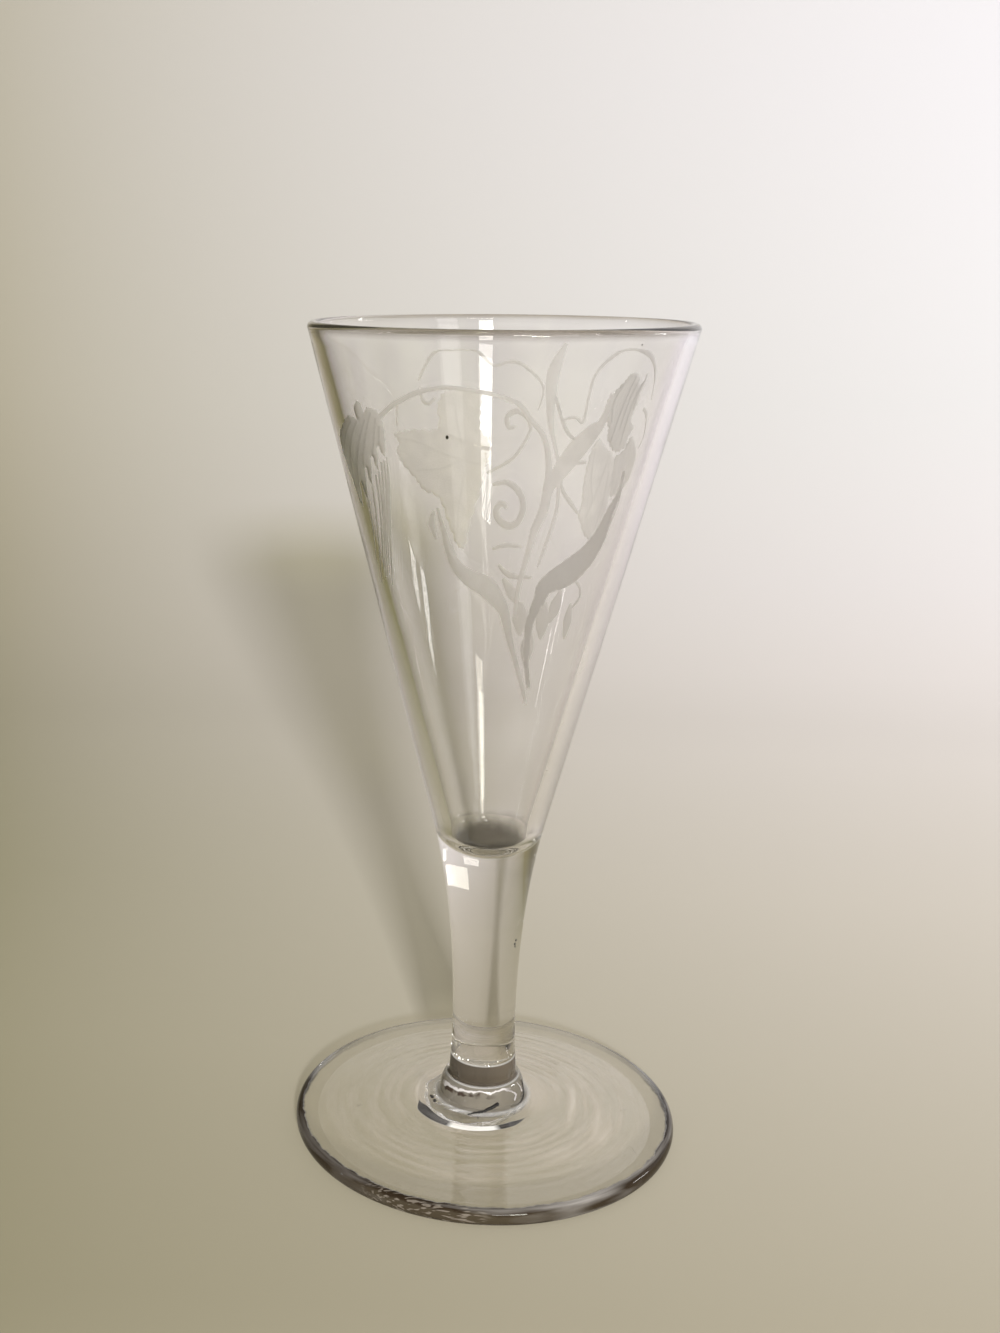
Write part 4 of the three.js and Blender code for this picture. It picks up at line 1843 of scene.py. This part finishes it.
    def add_to(self, draft: Draft) -> None:
        """Cuts the wall and adds it to the bowl's draft."""
        columns = np.arange(self.bowl.segments + 1) * self.breadth / self.bowl.segments
        levels = np.linspace(self.low, self.high, self.rows + 1)
        grid = np.array([(u, v) for v in levels for u in columns])
        at_seam = (grid[:, 0] < self.seam_play) | (grid[:, 0] > self.breadth - self.seam_play)
        edge = at_seam | np.isin(grid[:, 1], levels[[0, -1]])
        depth_grid, near = self.depth_at(grid)
        grid = grid[edge | ((near > self.grid_margin) & (depth_grid == 0))]
        outlines = [s.outline for s in self.shapes]
        spots = np.concatenate([grid, self._fill(), *(s.middle for s in self.shapes), *outlines])
        faces, start = [], len(spots) - sum(len(outline) for outline in outlines)
        for outline in outlines:
            ids = list(range(start, start + len(outline)))
            x, y = outline[:, 0], outline[:, 1]
            turned = (x * np.roll(y, -1) - np.roll(x, -1) * y).sum()
            faces.append(ids if turned > 0 else ids[::-1])
            start += len(outline)
        made = delaunay_2d_cdt([Vector(p) for p in spots], [], faces, 0, self.merge, True)
        places = np.array([(v.x, v.y) for v in made[0]])
        depth, _ = self.depth_at(places)
        first = len(draft.points)
        for (u, v), cut in zip(places, depth):
            turn = math.radians(self.seam_turn) + u / self.unrolled_radius
            r = self.bowl.outer_radius(v) - cut
            draft.points.append((r * math.sin(turn), -r * math.cos(turn), v))
        for corners, owners in zip(made[2], made[5]):
            draft.faces.append(tuple(first + c for c in corners))
            draft.skins.append(int(Skin.CUT if owners else Skin.CLEAR))

    def shade_veins(self, mesh: Mesh) -> None:
        """Stores how near each point of the wall is to a vein, for the finish of the cuts."""
        spots = np.array([(math.degrees(math.atan2(v.co.x, -v.co.y)), v.co.z / MM) for v in mesh.vertices])
        flat = np.array([self.flat((turn, height)) for turn, height in spots])
        shade = np.zeros(len(flat))
        for shape in self.shapes:
            if shape.shade:
                inside, _ = polygon_measure(shape.outline, flat)
                shade[inside] = np.maximum(shade[inside], shape.shade)
        for vein in self.veins:
            close, share = vein.near(flat, self.vein_width)
            shade[close] = np.maximum(shade[close], vein.shade * share)
        layer = mesh.attributes.new(VEIN_SHADE, "FLOAT", "POINT")
        layer.data.foreach_set("value", shade)

    def _fill(self) -> np.ndarray:
        """Gives evenly spread points inside the cuts."""
        columns = np.arange(self.fill_start, self.breadth, self.spacing)
        rows = []
        for i, height in enumerate(np.arange(self.low, self.high, self.spacing * self.fill_row)):
            shifted = columns + (i % 2) * self.spacing / 2
            rows.append(np.stack([shifted, np.full(len(columns), height)], axis=1))
        spots = np.concatenate(rows)
        depth, near = self.depth_at(spots)
        return spots[(depth > 0) & (near > self.fill_margin)]


# Grains in the glass

@dataclass(frozen=True)
class Grain:
    """A speck in the glass: its turn, distance from the axis, height and half size."""

    turn: float
    reach: float
    height: float
    size: float

    @property
    def place(self) -> Point3:
        """Where it lies, in metres."""
        a = math.radians(self.turn)
        return self.reach * math.sin(a) * MM, -self.reach * math.cos(a) * MM, self.height * MM


class GrainScatter:
    """Geometry Nodes tree that sets a flattened grain on every point of a mesh, as big as its size says."""

    name: str = "grain_scatter"
    size_name: str = "grain_size"
    subdivisions: int = 3
    most_turn: Point3 = (math.tau, math.tau, math.tau)
    flattest: Point3 = (0.5, 0.5, 0.6)
    roundest: Point3 = (1.0, 1.0, 1.0)

    def tree(self) -> bpy.types.NodeTree:
        """Gives the tree, made on its first use."""
        return bpy.data.node_groups.get(self.name) or self._build()

    def _build(self) -> bpy.types.NodeTree:
        """Makes the tree."""
        made = bpy.data.node_groups.new(self.name, "GeometryNodeTree")
        bench = NodeBench(made)
        bench.declare("INPUT", Geometry="Geometry", Material="Material", Seed="Int")
        bench.declare("OUTPUT", Geometry="Geometry")
        given = bench.add("NodeGroupInput").outputs
        points = bench.add("GeometryNodeMeshToPoints", {"Mesh": given["Geometry"]})
        ball = bench.add("GeometryNodeMeshIcoSphere", {"Radius": 1.0, "Subdivisions": self.subdivisions})
        size = bench.add("GeometryNodeInputNamedAttribute", {"Name": self.size_name}, data_type="FLOAT")
        turns = {"Max": self.most_turn, "Seed": given["Seed"]}
        turn = bench.add("FunctionNodeRandomValue", turns, data_type="FLOAT_VECTOR")
        shapes = {"Min": self.flattest, "Max": self.roundest}
        flat = bench.add("FunctionNodeRandomValue", shapes, data_type="FLOAT_VECTOR")
        placed = {
            "Points": points.outputs["Points"],
            "Instance": ball.outputs["Mesh"],
            "Rotation": turn.outputs["Value"],
            "Scale": bench.scaled(flat.outputs["Value"], size.outputs["Attribute"]),
        }
        grains = bench.add("GeometryNodeInstanceOnPoints", placed)
        real = bench.add("GeometryNodeRealizeInstances", {"Geometry": grains.outputs["Instances"]})
        finish = {"Geometry": real.outputs["Geometry"], "Material": given["Material"]}
        finished = bench.add("GeometryNodeSetMaterial", finish)
        bench.add("NodeGroupOutput", {"Geometry": finished.outputs["Geometry"]})
        return made

    def build(self, name: str, grains: list[Grain], material: Material, seed: int) -> Object:
        """Makes a piece of grains.

        Args:
            name: Name of the piece.
            grains: Where they lie and how big they are.
            material: Their material.
            seed: Seed of their turns and shapes.

        Returns:
            An object whose mesh is plain, with no modifier left.
        """
        spots = bpy.data.meshes.new(name + "_spots")
        spots.from_pydata([g.place for g in grains], [], [])
        layer = spots.attributes.new(self.size_name, "FLOAT", "POINT")
        layer.data.foreach_set("value", [g.size * MM for g in grains])
        piece = bpy.data.objects.new(name, spots)
        bpy.context.scene.collection.objects.link(piece)
        tree = self.tree()
        modifier = piece.modifiers.new("grains", "NODES")
        modifier.node_group = tree
        items = tree.interface.items_tree
        sockets = {item.name: item.identifier for item in items if item.in_out == "INPUT"}
        modifier[sockets["Material"]] = material
        modifier[sockets["Seed"]] = seed
        seen = piece.evaluated_get(bpy.context.evaluated_depsgraph_get())
        mesh = bpy.data.meshes.new_from_object(seen)
        piece.modifiers.remove(modifier)
        piece.data = mesh
        mesh.shade_smooth()
        return piece


@dataclass(frozen=True)
class Chain:
    """A torn line on the surface: grains laid through points of turn, reach and height."""

    points: tuple[Point3, ...]
    count: int
    first_size: float
    last_size: float
    rise: float = 0.14
    jag: Lumps = Lumps(9.0, 1.0, 4.0, 0.14)

    def grains(self) -> list[Grain]:
        """Lays the grains, each a little off the line."""
        found = []
        for i in range(self.count):
            share = i / (self.count - 1)
            spot = share * (len(self.points) - 1)
            k = min(int(spot), len(self.points) - 2)
            ends = zip(self.points[k], self.points[k + 1])
            turn, reach, height = (a + (b - a) * (spot - k) for a, b in ends)
            size = self.first_size + (self.last_size - self.first_size) * share
            found.append(Grain(turn, reach + self.rise, height + self.jag.at(share, reach), size))
        return found


@dataclass(frozen=True)
class Flaws:
    """The small flaws of the photographed glass: seeds at the weld, dark stones, and tears in the boss."""

    # The seeds glow a little: painted glints.
    pale: GrainFinish = GrainFinish("seed_grain", (0.95, 0.95, 0.93), (0.80, 0.79, 0.76), 0.2, glint_glow=0.6)
    torn: GrainFinish = GrainFinish("tear_grain", (0.34, 0.32, 0.31), (0.22, 0.20, 0.19), 0.3)
    dark: GrainFinish = GrainFinish("stone_grain", (0.014, 0.012, 0.011), (0.005, 0.005, 0.005), 0.5)
    seeds: tuple[Grain, ...] = (
        Grain(-26.9, 5.18, 12.63, 0.20),
        Grain(-38.0, 5.16, 12.4, 0.15),
        Grain(-46.5, 5.18, 12.35, 0.24),
        Grain(-55.0, 5.16, 12.6, 0.17),
        Grain(-63.0, 5.18, 12.4, 0.20),
        Grain(-83.0, 5.14, 13.3, 0.22),
        Grain(-80.3, 5.06, 15.03, 0.20),
        Grain(28, 5.12, 12.5, 0.13),
        Grain(62, 5.1, 12.7, 0.14),
        Grain(118, 5.0, 12.9, 0.18),
        Grain(170, 5.0, 12.6, 0.14),
        Grain(-140, 5.0, 12.8, 0.17),
    )
    bowl_stones: tuple[Grain, ...] = (
        Grain(-16.6, 24.2, 115.1, 0.34), Grain(42.0, 27.2, 127.4, 0.14), Grain(-97.0, 14.5, 78.0, 0.18),
    )
    stem_stones: tuple[Grain, ...] = (
        Grain(55.8, 5.68, 33.3, 0.30), Grain(53.6, 5.64, 32.7, 0.24), Grain(55.0, 5.62, 32.2, 0.16),
    )
    foot_stones: tuple[Grain, ...] = (
        Grain(-73.5, 8.75, 4.62, 0.26),
        Grain(-70.0, 8.6, 4.68, 0.32),
        Grain(-62.2, 8.65, 4.64, 0.28),
        Grain(-3.4, 8.62, 4.55, 0.15),
        Grain(-141.3, 14.29, 4.0, 0.12),
        Grain(-52.0, 13.4, 4.05, 0.10),
    )
    tears: tuple[Chain, ...] = (
        Chain(
            (
                (-15.3, 8.06, 4.69), (-11.1, 7.73, 4.80), (-1.6, 7.40, 4.94), (11.5, 6.92, 5.38),
                (21.3, 6.88, 5.95),
            ),
            40, 0.10, 0.36,
        ),
        Chain(
            (
                (79.1, 6.47, 7.57), (78.3, 6.87, 5.86), (70.0, 7.1, 5.3), (59.0, 7.29, 5.0),
                (42.1, 7.12, 5.08),
            ),
            34, 0.15, 0.08,
        ),
        Chain(((84.9, 22.6, 3.27), (87.0, 23.6, 3.19)), 12, 0.06, 0.05),
        Chain(((62.6, 26.5, 2.95), (60.4, 27.6, 2.86)), 12, 0.05, 0.07),
        Chain(((-77.6, 20.1, 3.49), (-76.0, 20.8, 3.44)), 10, 0.07, 0.05),
    )
    pale_tears: tuple[Chain, ...] = (
        Chain(((35.9, 6.30, 7.82), (47.0, 6.5, 7.3), (54.0, 6.75, 6.5), (50.0, 6.85, 5.8)), 22, 0.12, 0.20),
        Chain(((64.0, 6.2, 7.9), (68.0, 6.6, 7.1), (69.0, 6.8, 6.3)), 16, 0.10, 0.14),
    )

    def build(self) -> None:
        """Makes the pieces, each with its node."""
        pale, torn, dark = (finish.build() for finish in (self.pale, self.torn, self.dark))
        scatter = GrainScatter()
        cracks = [grain for chain in self.tears for grain in chain.grains()]
        edges = [grain for chain in self.pale_tears for grain in chain.grains()]
        settle(scatter.build("weld_seeds", list(self.seeds), pale, seed=4), "stem")
        settle(scatter.build("stem_stones", list(self.stem_stones), dark, seed=7), "stem")
        settle(scatter.build("bowl_stones", list(self.bowl_stones), dark, seed=11), "bowl")
        settle(scatter.build("foot_stones", [*self.foot_stones, *cracks], dark, seed=15), "foot")
        settle(scatter.build("foot_tears", edges, torn, seed=21), "foot")


def settle(piece: Object, node: str) -> None:
    """Attaches a finished piece to the root, and hides the part of the node that it stands for."""
    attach(piece, "root")
    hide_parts(node)
    LOG.info("%s: %d faces", piece.name, len(piece.data.polygons))


def place(
    piece: Object,
    node: str,
    materials: list[Material],
    sharp: float = 40.0,
    smooth_more: Callable[[Mesh], None] | None = None,
) -> None:
    """Puts a finished piece into the scene, in place of its node.

    Args:
        piece: The finished object, at the origin.
        node: The node that it stands for.
        materials: Materials in the order of Skin.
        sharp: Angle in degrees over which an edge stays sharp.
        smooth_more: What else sets the mesh's normals.
    """
    for m in materials:
        piece.data.materials.append(m)
    piece.data.set_sharp_from_angle(angle=math.radians(sharp))
    if smooth_more:
        smooth_more(piece.data)
    bpy.context.scene.collection.objects.link(piece)
    settle(piece, node)


def main() -> None:
    """Builds the stage, the light and the pieces."""
    logging.basicConfig(level=logging.INFO, format="%(name)s: %(message)s")
    PhotoCamera().build()
    SweepPaper().build(PaperFinish().build())
    Studio().build()
    clear = BowlFinish().build()
    solid = GlassFinish(
        "solid_glass", (0.86, 0.845, 0.83), shadow_face=(0.52, 0.51, 0.40), shadow_edge=(0.28, 0.27, 0.20)
    ).build()
    disc = DiscFinish().build()
    broken = GlassFinish(
        "broken_glass",
        tint=(0.62, 0.61, 0.59),
        roughness=0.05,
        shadow_face=(0.8, 0.79, 0.77),
        shadow_edge=(0.6, 0.59, 0.57),
        wear=0.3,
    ).build()
    weld = WeldFinish().build()
    joint = Joint()
    cut = CutFinish().build()
    bowl = Bowl(joint)
    place(bowl.build(), "bowl", [clear, weld, cut], smooth_more=bowl.smooth_wall)
    place(Stem(joint).build(), "stem", [solid, weld])
    scar = PontilScar()
    place(Foot(joint, scar).build(), "foot", [disc, weld])
    place(scar.build(), "pontil_scar", [broken, weld], sharp=30.0)
    Flaws().build()


if __name__ == "__main__":
    main()
